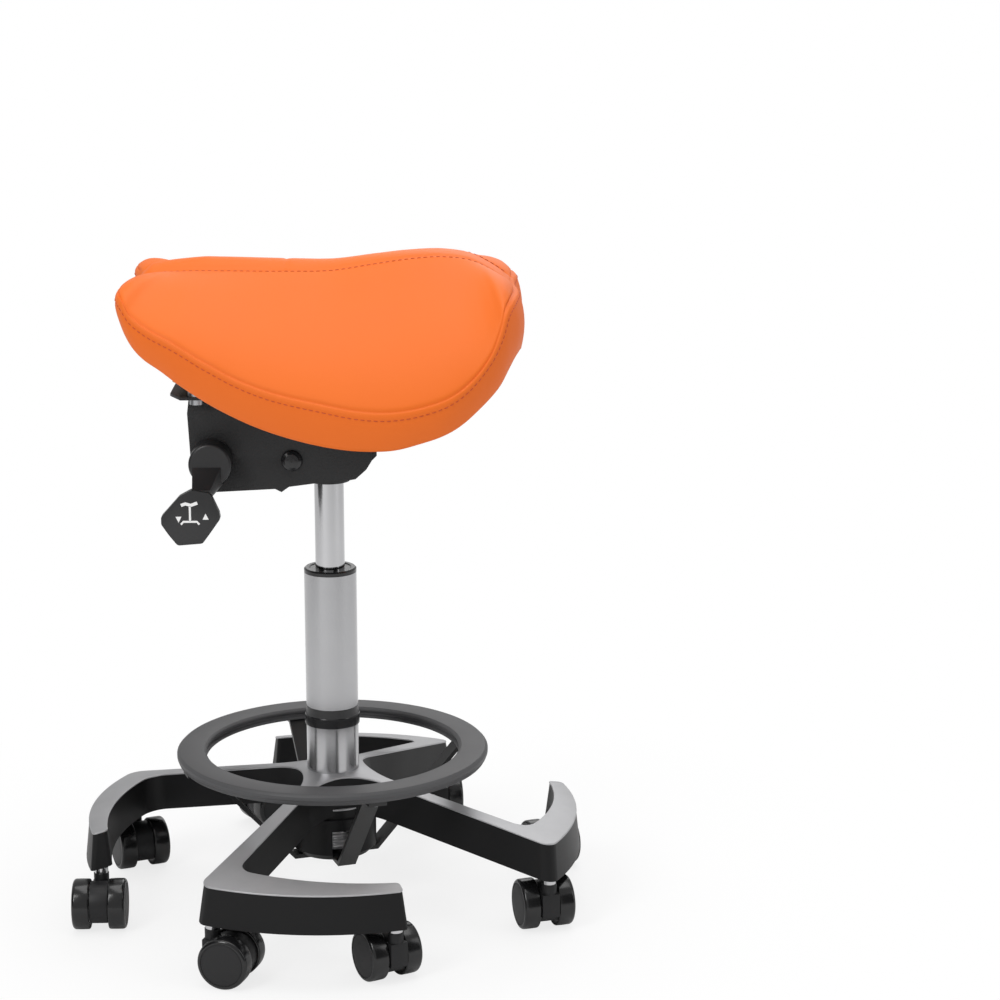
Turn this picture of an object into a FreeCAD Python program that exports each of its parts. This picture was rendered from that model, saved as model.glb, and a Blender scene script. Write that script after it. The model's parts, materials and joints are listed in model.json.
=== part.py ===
# Saddle stool on eight twin-wheel castors, with a foot ring, a gas lift and a tilting saddle seat.
# Millimetres. The origin is on the floor under the column's axis, +Z is up, the seat's length runs
# along X with its front towards -X, and the near side, with the tilt lever, is towards -Y.
import FreeCAD, Part
import Sketcher
import math
import os
import re

doc = FreeCAD.newDocument("saddle_stool")
sheet = doc.addObject("Spreadsheet::Sheet", "Sizes")

# Driving dimensions: alias, millimetres or degrees, meaning
SIZES = [
    ("running_gap", 0.05, "radial clearance of a running fit"),
    ("side_gap", 0.4, "clearance between faces that turn past each other"),
    ("soft_gap", 0.3, "clearance under a soft piece"),
    ("castor_height", 54.5, "floor to the underside of the casting at a castor"),
    ("castor_trail", 17.7, "castor stem axis to wheel axle"),
    ("wheel_radius", 24, "castor wheel"),
    ("wheel_width", 16.5, "one castor wheel"),
    ("wheel_gap", 17.6, "space between the two wheels of a castor"),
    ("wheel_round", 2.6, "chamfer of a wheel's rims"),
    ("wheel_dish", 0.8, "dish in a wheel's outer face"),
    ("hood_radius", 21.5, "castor housing around its axle"),
    ("hood_floor_gap", 11, "floor to the open bottom of the castor housing"),
    ("neck_radius", 7.2, "castor neck"),
    ("stem_radius", 5.5, "castor stem"),
    ("stem_depth", 21, "castor stem inside the casting"),
    ("collar_radius", 6.6, "bright collar on the stem"),
    ("collar_height", 5.5, "bright collar on the stem"),
    ("axle_radius", 3, "castor axle"),
    ("axle_end", 4, "outer wall of a wheel left over the axle's end"),
    ("arm_angle", 63.94, "direction of the first arm"),
    ("arm_reach", 235.7, "column axis to the outer rim of a hook, at its top edge"),
    ("arm_half", 9.8, "half the width of an arm's top at its elbow"),
    ("arm_depth", 35, "depth of an arm"),
    ("arm_slope", 0.2, "fall of an arm's top per length"),
    ("arm_draft", 0.11, "outward slope of the casting's sides per height"),
    ("arm_wall", 4, "wall of the hollow casting"),
    ("hook_angle", 43.8, "angle from an arm to the tip of its hook"),
    ("hook_root_width", 34.7, "width of a hook where it leaves the arm"),
    ("hook_tip_width", 13.7, "width of a hook at its tip"),
    ("root_round", 54, "concave round between two arms"),
    ("elbow_round", 12, "outer corner where an arm turns into its hook"),
    ("vertex_round", 17, "inner corner where an arm turns into its hook"),
    ("tip_round", 4, "corners of a hook's tip"),
    ("elbow_inset", 5.6, "outer rim of a hook to the castor at the elbow"),
    ("tip_inset", 7.2, "outer rim of a hook to the castor at the tip"),
    ("tip_stem_angle", 42.5, "angle from an arm to the castor at its tip"),
    ("boss_radius", 9, "boss around a castor stem"),
    ("hub_radius", 38, "round hub of the casting"),
    ("hub_rise", 29.5, "underside of an arm's end to the underside of the hub"),
    ("hub_height", 16, "rim of the hub below the arms"),
    ("cup_radius", 41, "cup under the hub"),
    ("cup_depth", 35, "cup below the underside of the hub"),
    ("cup_wall", 3, "wall of the cup"),
    ("cup_round", 6, "chamfer of the cup's bottom edge"),
    ("window_width", 20, "window in the front of the cup"),
    ("window_margin", 5, "upper edge of the window below the hub"),
    ("ring_outer", 150, "foot ring outer radius"),
    ("ring_inner", 122, "foot ring inner radius"),
    ("ring_rise", 70, "underside of the hub to the top of the foot ring"),
    ("ring_height", 11, "foot ring section"),
    ("ring_edge", 2.5, "chamfers of the foot ring"),
    ("ring_groove", 3, "groove around the inside of the foot ring"),
    ("strut_angle", 18.94, "direction of the first strut"),
    ("strut_width", 17.5, "flat bar of a strut"),
    ("strut_thick", 4, "flat bar of a strut"),
    ("strut_bend", 126, "column axis to the bend under the foot ring"),
    ("strut_foot", 40.3, "column axis to the bend under the cup"),
    ("strut_toe", 24, "column axis to the strut's inner end"),
    ("screw_radius", 2.5, "ring screw shank"),
    ("screw_head", 5, "ring screw head radius"),
    ("screw_rise", 7, "ring screw length inside the ring"),
    ("tube_radius", 25, "outer tube of the gas lift"),
    ("tube_wall", 2, "outer tube of the gas lift"),
    ("tube_length", 272.5, "outer tube of the gas lift"),
    ("tube_neck", 23, "lower end of the outer tube between its collars"),
    ("tube_plate", 3, "bottom plate of the outer tube"),
    ("collar_rise", 1, "bottom of the outer tube to the lower chrome collar"),
    ("collar_gap", 7, "between the two chrome collars"),
    ("collar_band", 6.5, "height of a chrome collar"),
    ("band_drop", 150, "top of the outer tube to the bottom of the black band"),
    ("band_height", 18, "black band on the tube"),
    ("band_thick", 1.2, "black band on the tube"),
    ("bush_length", 88, "guide bush inside the tube"),
    ("cap_height", 4.5, "cap of the guide bush"),
    ("cylinder_radius", 14, "gas cylinder"),
    ("cylinder_bore", 12, "bore of the gas cylinder"),
    ("cylinder_length", 266.5, "gas cylinder below its taper"),
    ("cylinder_end", 6, "lower end cap of the gas cylinder"),
    ("head_wall", 16.5, "end of the cylinder's bore to the start of its taper"),
    ("lift_show", 89, "gas cylinder between the outer tube and its taper at rest"),
    ("taper_length", 50, "taper held in the bracket's socket"),
    ("taper_top_radius", 13, "gas cylinder at its top"),
    ("rod_radius", 5, "piston rod"),
    ("rod_end", 4.5, "piston rod below the outer tube"),
    ("rod_length", 211.5, "piston rod with its piston"),
    ("piston_height", 14, "piston"),
    ("bearing_radius", 15, "thrust bearing"),
    ("bearing_height", 5, "thrust bearing"),
    ("clip_radius", 11, "spring clip under the tube"),
    ("clip_height", 2.2, "spring clip under the tube"),
    ("button_radius", 4, "valve button"),
    ("button_length", 26.7, "valve button"),
    ("button_rise", 6.2, "valve button above the gas cylinder"),
    ("button_travel", 6, "free depth under the valve button"),
    ("pivot_along", -32, "tilt pivot along the seat"),
    ("pivot_rise", 28.5, "start of the cylinder's taper to the tilt pivot"),
    ("pivot_radius", 5, "tilt pivot bolt"),
    ("pivot_head", 10, "domed head of the tilt pivot bolt"),
    ("pivot_dome", 4.5, "height of the domed head"),
    ("clamp_along", -106, "tilt clamp bolt along the seat"),
    ("clamp_rise", 1, "tilt clamp bolt above the pivot"),
    ("clamp_radius", 4, "tilt clamp bolt"),
    ("clamp_nut", 8, "nut of the tilt clamp bolt, to its corners"),
    ("nut_height", 6, "nut of the tilt clamp bolt"),
    ("tilt_limit", 15, "tilt each way from rest"),
    ("bracket_half", 39, "half the width of the inner bracket"),
    ("bracket_wall", 3, "walls of the inner bracket"),
    ("bracket_rear", 46.7, "rear end of the inner bracket along the seat"),
    ("bracket_front", -116, "front end of the inner bracket along the seat"),
    ("bracket_low", 26, "inner bracket below the tilt pivot"),
    ("bracket_high", 29, "inner bracket above the tilt pivot"),
    ("bracket_floor", 4, "floor of the inner bracket"),
    ("socket_radius", 20, "taper socket of the inner bracket"),
    ("bridge_rise", 6, "bottom of the taper socket to the bridge between the bracket's walls"),
    ("bridge_thick", 8, "bridge between the bracket's walls"),
    ("housing_half", 44.5, "half the width of the tilt housing"),
    ("housing_wall", 3, "walls of the tilt housing"),
    ("housing_front", -126, "front of the tilt housing along the seat"),
    ("housing_rear", 42, "rear of the tilt housing along the seat"),
    ("housing_low", 30, "tilt housing below the tilt pivot"),
    ("window_room", 12, "space around the height lever in the housing's window"),
    ("plate_rise", 60.5, "tilt pivot to the underside of the seat plate"),
    ("plate_thick", 3, "seat plate"),
    ("plate_half", 62, "half the width of the seat plate"),
    ("plate_front", -143.5, "front of the seat plate along the seat"),
    ("plate_rear", 78, "rear of the seat plate along the seat"),
    ("plate_corner", 22, "cut corner of the seat plate"),
    ("spacer_height", 10.5, "spacers between plate and board"),
    ("spacer_radius", 8, "spacers between plate and board"),
    ("board_thick", 12.5, "seat board"),
    ("board_half", 63, "half the width of the seat board"),
    ("board_front", -141, "front of the seat board along the seat"),
    ("board_rear", 118, "rear of the seat board along the seat"),
    ("bolt_radius", 3.9, "seat bolt shank"),
    ("bolt_head", 6.5, "seat bolt head radius"),
    ("bolt_head_height", 5, "seat bolt head"),
    ("screw_boss", 10, "ring's middle to the outer end of a strut"),
    ("bolt_half", 53, "half the distance between seat bolts across the seat"),
    ("bolt_front", -118, "front seat bolts along the seat"),
    ("bolt_rear", 60, "rear seat bolts along the seat"),
    ("lever_boss", 20, "boss of the tilt lever"),
    ("lever_inner", 45, "near face of the tilt lever's boss from the middle"),
    ("lever_outer", 69, "outer face of the tilt lever's boss from the middle"),
    ("paddle_inner", 88, "inner face of the lever's paddle from the middle"),
    ("paddle_thick", 9, "paddle of the tilt lever"),
    ("paddle_round", 4, "corners of the paddle"),
    ("paddle_width", 54, "paddle along the seat"),
    ("paddle_tall", 53, "paddle from its neck to its lower edge"),
    ("paddle_lead", 43, "clamp bolt to the front corner of the paddle"),
    ("paddle_drop", 17, "clamp bolt down to the paddle's neck"),
    ("lever_round", 3, "outer edge of the tilt lever's boss"),
    ("lever_cap", 8, "outer wall of the lever's boss over the clamp bolt"),
    ("handle_pivot", 30, "height lever's pivot from the column axis"),
    ("handle_rise", 31, "height lever above the tilt pivot"),
    ("handle_radius", 3, "height lever's rod"),
    ("trunnion_radius", 3, "height lever's trunnions"),
    ("trunnion_reach", 11, "height lever's trunnions from the middle"),
    ("lug_width", 12, "lugs that carry the height lever"),
    ("handle_bend", 52, "height lever's first bend from the column axis"),
    ("handle_grip", 104, "height lever's grip from the column axis"),
    ("handle_end", 142, "end of the height lever's grip"),
    ("handle_drop", 34, "fall of the height lever to its grip"),
    ("grip_half", 14, "half the width of the height lever's grip"),
    ("grip_thick", 7, "height lever's grip"),
    ("seat_rise", 88.5, "seat board to the stitched ridge lines of the seat, at its middle"),
    ("seat_sway", 14, "rise of the ridge lines at the rear above their middle"),
    ("seat_curl", 49, "rise of the seat's underside at its front end"),
    ("cushion_rim", 2, "foam beside the seat board"),
    ("ridge_half", 25, "half the distance between the two ridge lines"),
    ("ridge_puff", 6.5, "fullness between the ridge lines"),
    ("panel_puff", 11, "fullness of the side panels"),
    ("hem_puff", 2.5, "fullness of the perimeter band"),
    ("seam_half", 172, "half the width of the seat at its seam"),
    ("seam_drop", 105.5, "ridge to the seam at the seat's widest place"),
    ("band_tall", 35, "perimeter band at the seat's widest place"),
    ("hem_inset", 7.5, "how far the band's lower edge is drawn in"),
    ("seat_front", -183, "front end of the seat"),
    ("seat_rear", 181, "rear end of the seat"),
    ("notch_depth", 9, "notch between the lobes at each end of the seat"),
    ("notch_radius", 46, "round of that notch"),
]
# Sizes that follow from those above: alias, formula, meaning
DERIVED = [
    ("elbow_stem_reach", "arm_reach - elbow_inset", "column axis to the castor at the elbow"),
    ("tip_stem_reach", "arm_reach - tip_inset", "column axis to the castor at the tip"),
    ("hub_floor", "castor_height + hub_rise", "floor to the underside of the hub"),
    ("cup_floor", "hub_floor - cup_depth", "floor to the underside of the cup"),
    ("window_low", "cup_floor + cup_wall", "floor to the lower edge of the window"),
    ("window_high", "hub_floor - window_margin", "floor to the upper edge of the window"),
    ("ring_top", "hub_floor + ring_rise", "floor to the top of the foot ring"),
    ("tube_floor", "cup_floor + 2 * cup_wall", "floor to the bottom of the outer tube"),
    ("tube_top", "tube_floor + tube_length", "floor to the top of the outer tube"),
    ("collar_a", "tube_floor + collar_rise", "floor to the lower chrome collar"),
    ("collar_b", "collar_a + collar_band + collar_gap", "floor to the upper chrome collar"),
    ("band_low", "tube_top - band_drop", "floor to the black band on the tube"),
    ("taper_low", "tube_top + lift_show", "floor to the start of the cylinder's taper"),
    ("cylinder_low", "taper_low - cylinder_length", "floor to the lower end of the gas cylinder"),
    ("cylinder_head", "taper_low - head_wall", "floor to the end of the cylinder's bore"),
    ("rod_low", "tube_floor - rod_end", "floor to the lower end of the piston rod"),
    ("piston_top", "rod_low + rod_length", "floor to the top of the piston"),
    ("button_top", "taper_low + taper_length + button_rise", "floor to the top of the valve button"),
    ("button_low", "button_top - button_length", "floor to the lower end of the valve button"),
    ("pivot_height", "taper_low + pivot_rise", "floor to the tilt pivot"),
    ("plate_low", "pivot_height + plate_rise", "floor to the underside of the seat plate"),
    ("board_low", "plate_low + plate_thick + spacer_height", "floor to the underside of the seat board"),
    ("board_top", "board_low + board_thick", "floor to the top of the seat board"),
    ("seat_ridge", "board_top + seat_rise", "floor to the stitched ridge lines of the seat"),
    ("ring_middle", "( ring_outer + ring_inner ) / 2", "column axis to the middle of the foot ring"),
]
rows = [(alias, str(number), meaning) for alias, number, meaning in SIZES]
rows += [(alias, "=" + formula, meaning) for alias, formula, meaning in DERIVED]
for row, (alias, content, meaning) in enumerate(rows, start=1):
    sheet.set("A%d" % row, meaning)
    sheet.set("B%d" % row, content)
    sheet.setAlias("B%d" % row, alias)
doc.recompute()

nodes = []


def size(alias):
    return float(sheet.get(alias))


ALIASES = {alias for alias, content, meaning in rows}


def named(formula):
    # a formula in words becomes one that reads the spreadsheet
    return re.sub(r"[a-z_]+", lambda word: "Sizes." + word[0] if word[0] in ALIASES else word[0], formula)


def value(formula):
    return float(sheet.evalExpression(named(formula)))


def bind(thing, **formulas):
    for key, formula in formulas.items():
        thing.setExpression(key, named(formula))
    return thing


def keep(thing, node):
    thing.Label = node
    nodes.append(thing)
    return thing


def placed(x=0, y=0, z=0, turn=0, axis=(0, 0, 1)):
    return FreeCAD.Placement(FreeCAD.Vector(x, y, z), FreeCAD.Rotation(FreeCAD.Vector(*axis), turn))


def sketchOn(body, role, name, corners):
    # a closed outline with straight sides, each corner held by its two distances from the origin
    sketch = body.newObject("Sketcher::SketchObject", name)
    plane = [part for part in body.Origin.OriginFeatures if part.Role == role][0]
    sketch.AttachmentSupport = [(plane, "")]
    sketch.MapMode = "FlatFace"
    spots = [FreeCAD.Vector(value(across), value(up), 0) for across, up in corners]
    count = len(spots)
    for index in range(count):
        sketch.addGeometry(Part.LineSegment(spots[index], spots[(index + 1) % count]), False)
    for index in range(count):
        sketch.addConstraint(Sketcher.Constraint("Coincident", index, 2, (index + 1) % count, 1))
    for index, (across, up) in enumerate(corners):
        for kind, axis, formula in (("DistanceX", -2, across), ("DistanceY", -1, up)):
            if formula == "0":
                sketch.addConstraint(Sketcher.Constraint("PointOnObject", index, 1, axis))
                continue
            held = sketch.addConstraint(Sketcher.Constraint(kind, -1, 1, index, 1, value(formula)))
            sketch.setExpression("Constraints[%d]" % held, named(formula))
    return sketch


def turned(node, corners, place=None):
    # a piece turned around its own Z axis from a half section
    body = doc.addObject("PartDesign::Body", node)
    sketch = sketchOn(body, "XZ_Plane", node + "_section", corners)
    spin = body.newObject("PartDesign::Revolution", node + "_turned")
    spin.Profile = sketch
    spin.ReferenceAxis = (sketch, ["V_Axis"])
    spin.Angle = 360
    if place:
        body.Placement = place
    return body


def padded(node, role, corners, depth, place=None):
    # a plate of an even depth, half of it each side of its sketch
    body = doc.addObject("PartDesign::Body", node)
    sketch = sketchOn(body, role, node + "_outline", corners)
    pad = body.newObject("PartDesign::Pad", node + "_plate")
    pad.Profile = sketch
    pad.SideType = "Symmetric"
    bind(pad, Length=depth)
    if place:
        body.Placement = place
    return body


def rod(name, radius, height, place):
    thing = doc.addObject("Part::Cylinder", name)
    bind(thing, Radius=radius, Height=height)
    thing.Placement = place
    return thing


def block(name, length, width, height, place):
    thing = doc.addObject("Part::Box", name)
    bind(thing, Length=length, Width=width, Height=height)
    thing.Placement = place
    return thing


def cut(name, base, tool):
    thing = doc.addObject("Part::Cut", name)
    thing.Base = base
    thing.Tool = tool
    return thing


def fused(name, things):
    thing = doc.addObject("Part::MultiFuse", name)
    thing.Shapes = things
    return thing


def grouped(name, things):
    thing = doc.addObject("Part::Compound", name)
    thing.Links = things
    return thing


def shaped(node, shape):
    thing = doc.addObject("Part::Feature", node)
    thing.Shape = shape
    thing.Placement = FreeCAD.Placement()
    return thing


def vec(x, y, z=0):
    return FreeCAD.Vector(x, y, z)


def polar(reach, degrees, z=0):
    angle = math.radians(degrees)
    return vec(reach * math.cos(angle), reach * math.sin(angle), z)


def arcEdge(start, middle, end):
    return Part.Arc(start, middle, end).toShape()


def lineEdge(start, end):
    return Part.LineSegment(start, end).toShape()


# Castors: each swings on a stem in the casting, and its housing trails in its own direction.
ARMS = 4
CASTOR_TRAILS = {
    (0, "elbow"): 100, (0, "tip"): 215,
    (1, "elbow"): 293, (1, "tip"): 271,
    (2, "elbow"): 343, (2, "tip"): 119,
    (3, "elbow"): 106, (3, "tip"): 110,
}


def stemSpot(arm, where):
    angle = size("arm_angle") + arm * 360 / ARMS
    if where == "elbow":
        return polar(size("elbow_stem_reach"), angle)
    return polar(size("tip_stem_reach"), angle + size("tip_stem_angle"))


def castorHousing(node, place):
    # a plate between the wheels, round about the axle, with the neck over the stem
    width = "wheel_gap - 2 * side_gap"
    neckTop = "castor_height - collar_height - running_gap"
    hood = rod(node + "_hood", "hood_radius", width, placed(
        size("castor_trail"), value(width) / 2, size("wheel_radius"), 90, (1, 0, 0)))
    shoulder = block(node + "_shoulder", "castor_trail + neck_radius", width,
                     "hood_radius * 0.72", placed(-size("neck_radius"), -value(width) / 2,
                                                  size("wheel_radius")))
    neck = rod(node + "_neck", "neck_radius", neckTop + " - wheel_radius",
               placed(0, 0, size("wheel_radius")))
    heel = block(node + "_heel", "castor_trail", width, "wheel_radius * 0.3",
                 placed(-size("neck_radius"), -value(width) / 2, size("wheel_radius") * 0.7))
    whole = fused(node + "_whole", [hood, shoulder, neck, heel])
    floor = block(node + "_floor", "hood_radius * 4", "wheel_gap * 2", "hood_floor_gap",
                  placed(-size("hood_radius"), -size("wheel_gap"), 0))
    depth = "castor_height - collar_height - wheel_radius"
    bore = rod(node + "_bore", "stem_radius + running_gap", depth,
               placed(0, 0, value("wheel_radius + running_gap")))
    hole = rod(node + "_hole", "axle_radius", "wheel_gap * 2",
               placed(size("castor_trail"), size("wheel_gap"), size("wheel_radius"), 90, (1, 0, 0)))
    open_ = cut(node, whole, grouped(node + "_space", [floor, bore, hole]))
    open_.Placement = place
    return keep(open_, node)


def castorWheel(node, place, side):
    # a solid rim with a dished outer face and a blind hole for the axle
    corners = [
        ("axle_radius + running_gap", "0"),
        ("wheel_radius - wheel_round", "0"),
        ("wheel_radius", "wheel_round"),
        ("wheel_radius", "wheel_width - wheel_round"),
        ("wheel_radius - wheel_round", "wheel_width"),
        ("wheel_radius - wheel_round * 2", "wheel_width - wheel_dish"),
        ("0", "wheel_width - wheel_dish"),
        ("0", "wheel_width - axle_end"),
        ("axle_radius + running_gap", "wheel_width - axle_end"),
    ]
    spot = placed(size("castor_trail"), side * size("wheel_gap") / 2, size("wheel_radius"),
                  -90 * side, (1, 0, 0))
    return keep(turned(node, corners, place.multiply(spot)), node)


stems = []
for (arm, where), trail in CASTOR_TRAILS.items():
    spot = stemSpot(arm, where)
    swing = placed(spot.x, spot.y, 0, trail)
    label = "castor_%s_%d" % (where, arm + 1)
    castorHousing(label + "_housing", swing)
    reach = "wheel_gap / 2 + wheel_width - axle_end - side_gap"
    axle = rod(label + "_axle", "axle_radius", "2 * ( " + reach + " )", swing.multiply(placed(
        size("castor_trail"), value(reach), size("wheel_radius"), 90, (1, 0, 0))))
    keep(axle, label + "_axle")
    for letter, side in (("a", 1), ("b", -1)):
        castorWheel(label + "_wheel_" + letter, swing, side)
    stem = rod(label + "_stem", "stem_radius",
               "castor_height + stem_depth - wheel_radius - 2 * running_gap",
               placed(spot.x, spot.y, value("wheel_radius + 2 * running_gap")))
    collar = rod(label + "_collar", "collar_radius", "collar_height",
                 placed(spot.x, spot.y, value("castor_height - collar_height")))
    stems.append(fused(label + "_post", [stem, collar]))
keep(grouped("castor_stems", stems), "castor_stems")


# Base casting: four arms, each turning at its elbow into a hook that follows the outer circle.
def topEnvelope(drop):
    # everything under the casting's conical top, lowered by a distance
    slope = size("arm_slope")
    peak = size("castor_height") + size("arm_depth") + slope * size("arm_reach") - drop
    rise = slope * size("arm_reach") * 1.3
    wide = rise / slope
    cone = Part.makeCone(wide, 0, rise, vec(0, 0, peak - rise))
    return cone.fuse(Part.makeCylinder(wide, peak - rise + 200, vec(0, 0, -200)))


def hookInner():
    # centre and radius of the arc along the inside of a hook
    reach = size("arm_reach")
    root = reach - size("hook_root_width")
    tip = reach - size("hook_tip_width")
    angle = size("hook_angle")
    arc = arcEdge(polar(root, 0), polar((root + tip) / 2, angle / 2), polar(tip, angle))
    return arc.Curve.Center, arc.Curve.Radius


def armCorners(level, inset=0):
    # the sharp corners of one arm at a level; its sides lean outwards going down
    top = size("castor_height") + size("arm_depth")
    grow = size("arm_draft") * (top - level) - inset
    half = size("arm_half") + grow
    reach = size("arm_reach") + grow
    centre, inner = hookInner()
    inner = inner - grow
    angle = math.radians(size("hook_angle"))
    along = vec(math.cos(angle), math.sin(angle))
    side = vec(-math.sin(angle), math.cos(angle)) * grow
    tipOuter = along * math.sqrt(reach ** 2 - grow ** 2) + side
    gap = side - centre
    slant = along.dot(gap)
    tipInner = along * (-slant + math.sqrt(slant ** 2 - gap.dot(gap) + inner ** 2)) + side
    elbow = vec(math.sqrt(reach ** 2 - half ** 2), -half)
    vertex = vec(centre.x + math.sqrt(inner ** 2 - (half - centre.y) ** 2), half)
    bend = polar(reach, size("hook_angle") / 2)
    hollow = centre + (tipInner + vertex - centre * 2).normalize() * inner
    web = size("root_round") - grow
    swell = web * (1 - math.sqrt(0.5))
    spots = {"root_low": vec(half, -half - web), "root": vec(half + swell, -half - swell),
             "root_high": vec(half + web, -half), "elbow": elbow, "bend": bend,
             "tip_outer": tipOuter, "tip_inner": tipInner, "hollow": hollow, "vertex": vertex,
             "next": vec(half + web, half)}
    for spot in spots.values():
        spot.z = level
    return spots


def armTurn(arm):
    return placed(0, 0, 0, size("arm_angle") + arm * 360 / ARMS)


def castingWire(level, inset=0):
    edges = []
    for arm in range(ARMS):
        spots = {key: armTurn(arm).multVec(spot) for key, spot in armCorners(level, inset).items()}
        edges.append(arcEdge(spots["root_low"], spots["root"], spots["root_high"]))
        edges.append(lineEdge(spots["root_high"], spots["elbow"]))
        edges.append(arcEdge(spots["elbow"], spots["bend"], spots["tip_outer"]))
        edges.append(lineEdge(spots["tip_outer"], spots["tip_inner"]))
        edges.append(arcEdge(spots["tip_inner"], spots["hollow"], spots["vertex"]))
        edges.append(lineEdge(spots["vertex"], spots["next"]))
    return Part.Wire(edges)


def liesOn(edge, foot, head):
    # whether a straight edge lies on the line through two points
    along = (head - foot).normalize()
    return all((spot.Point - foot).cross(along).Length < 0.05 for spot in edge.Vertexes)


def castingBlank(inset, drop, rounds):
    # the drafted prism of the outline with a conical top, then its rounded corners
    low = size("castor_height") - size("arm_wall")
    high = low + size("arm_depth") + size("arm_slope") * size("arm_reach") + size("arm_wall")
    foot, head = armCorners(low, inset), armCorners(high, inset)

    def upright(shape, corner):
        edges = []
        for arm in range(ARMS):
            ends = [armTurn(arm).multVec(spots[corner]) for spots in (foot, head)]
            edges += [edge for edge in shape.Edges if liesOn(edge, *ends)]
        return edges

    blank = Part.makeLoft([castingWire(low, inset), castingWire(high, inset)], True, True)
    blank = blank.common(topEnvelope(drop))
    for corner, radius in rounds:
        blank = blank.makeFillet(radius, upright(blank, corner))
    return blank


def baseCasting():
    wall = size("arm_wall")
    outer = castingBlank(0, 0, [
        ("elbow", size("elbow_round")), ("vertex", size("vertex_round")),
        ("tip_outer", size("tip_round")), ("tip_inner", size("tip_round"))])
    hollow = castingBlank(wall, wall, [("elbow", size("elbow_round") - wall)])
    skin = outer.cut(topEnvelope(size("arm_depth")))
    under = size("castor_height")
    depth = size("arm_depth") + size("hub_floor")
    kept = [Part.makeCylinder(size("hub_radius"), depth, vec(0, 0, size("hub_floor")))]
    holes = [Part.makeCylinder(size("tube_radius"), depth, vec(0, 0, under))]
    for arm, where in CASTOR_TRAILS:
        spot = stemSpot(arm, where) + vec(0, 0, under)
        kept.append(Part.makeCylinder(size("boss_radius"), depth, spot))
        holes.append(Part.makeCylinder(size("stem_radius"), size("stem_depth") * 2,
                                       spot - vec(0, 0, size("stem_depth"))))
    rim = Part.makeCylinder(size("hub_radius"), size("hub_height"), vec(0, 0, size("hub_floor")))
    casting = skin.cut(hollow.cut(kept)).fuse(rim)
    for hole in holes:
        casting = casting.cut(hole)
    return casting


keep(shaped("base_casting", baseCasting()), "base_casting")

# Cup under the hub, which carries the struts and shows the lift's collars through its window
cup = turned("hub_cup_body", [
    ("clip_radius + side_gap", "cup_floor"),
    ("cup_radius - cup_round", "cup_floor"),
    ("cup_radius", "cup_floor + cup_round"),
    ("cup_radius", "hub_floor + cup_round"),
    ("hub_radius", "hub_floor + cup_round"),
    ("hub_radius", "cup_floor + cup_round"),
    ("cup_radius - cup_round", "cup_floor + cup_wall"),
    ("clip_radius + side_gap", "cup_floor + cup_wall"),
])
window = block("hub_cup_window", "window_width", "cup_radius", "window_high - window_low",
               placed(0, -size("cup_radius") * 1.5, size("window_low")))
keep(cut("hub_cup", cup, window), "hub_cup")

# Foot ring on four struts of bent flat bar, each held to the ring by a screw from below
ring = turned("foot_ring_body", [
    ("ring_inner", "ring_top - ring_height"),
    ("ring_outer - ring_edge", "ring_top - ring_height"),
    ("ring_outer - 1", "ring_top - ring_height + ring_edge"),
    ("ring_outer - 1", "ring_top - ring_height * 0.62"),
    ("ring_outer", "ring_top - ring_height * 0.55"),
    ("ring_outer", "ring_top - ring_edge"),
    ("ring_outer - ring_edge", "ring_top"),
    ("ring_inner + ring_edge", "ring_top"),
    ("ring_inner", "ring_top - ring_edge * 0.8"),
    ("ring_inner", "ring_top - ring_height * 0.35"),
    ("ring_inner + ring_groove", "ring_top - ring_height * 0.45"),
    ("ring_inner + ring_groove", "ring_top - ring_height * 0.7"),
    ("ring_inner", "ring_top - ring_height * 0.8"),
])
screws = []
ringHoles = []
for arm in range(ARMS):
    turn = size("strut_angle") + arm * 360 / ARMS
    number = str(arm + 1)
    kink = "strut_thick * tan(atan2(ring_top - ring_height - cup_floor; strut_bend - strut_foot) / 2)"
    corners = [
        ("ring_middle + screw_boss", "ring_top - ring_height"),
        ("strut_bend", "ring_top - ring_height"),
        ("strut_foot", "cup_floor"),
        ("strut_toe", "cup_floor"),
        ("strut_toe", "cup_floor - strut_thick"),
        ("strut_foot + " + kink, "cup_floor - strut_thick"),
        ("strut_bend + " + kink, "ring_top - ring_height - strut_thick"),
        ("ring_middle + screw_boss", "ring_top - ring_height - strut_thick"),
    ]
    bar = padded("strut_bar_" + number, "XZ_Plane", corners, "strut_width", placed(turn=turn))
    spot = polar(size("ring_middle"), turn)
    low = value("ring_top - ring_height - strut_thick")
    shank = placed(spot.x, spot.y, low - 1)
    hole = rod("strut_hole_" + number, "screw_radius", "strut_thick + 2", shank)
    keep(cut("foot_strut_" + number, bar, hole), "foot_strut_" + number)
    ringHoles.append(rod("ring_hole_" + number, "screw_radius", "strut_thick + screw_rise + 1", shank))
    head = rod("screw_head_" + number, "screw_head", "strut_thick / 2",
               placed(spot.x, spot.y, low - size("strut_thick") / 2))
    thread = rod("screw_shank_" + number, "screw_radius", "strut_thick + screw_rise",
                 placed(spot.x, spot.y, low))
    screws.append(fused("screw_" + number, [head, thread]))
keep(cut("foot_ring", ring, grouped("ring_holes", ringHoles)), "foot_ring")
keep(grouped("ring_screws", screws), "ring_screws")

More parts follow.
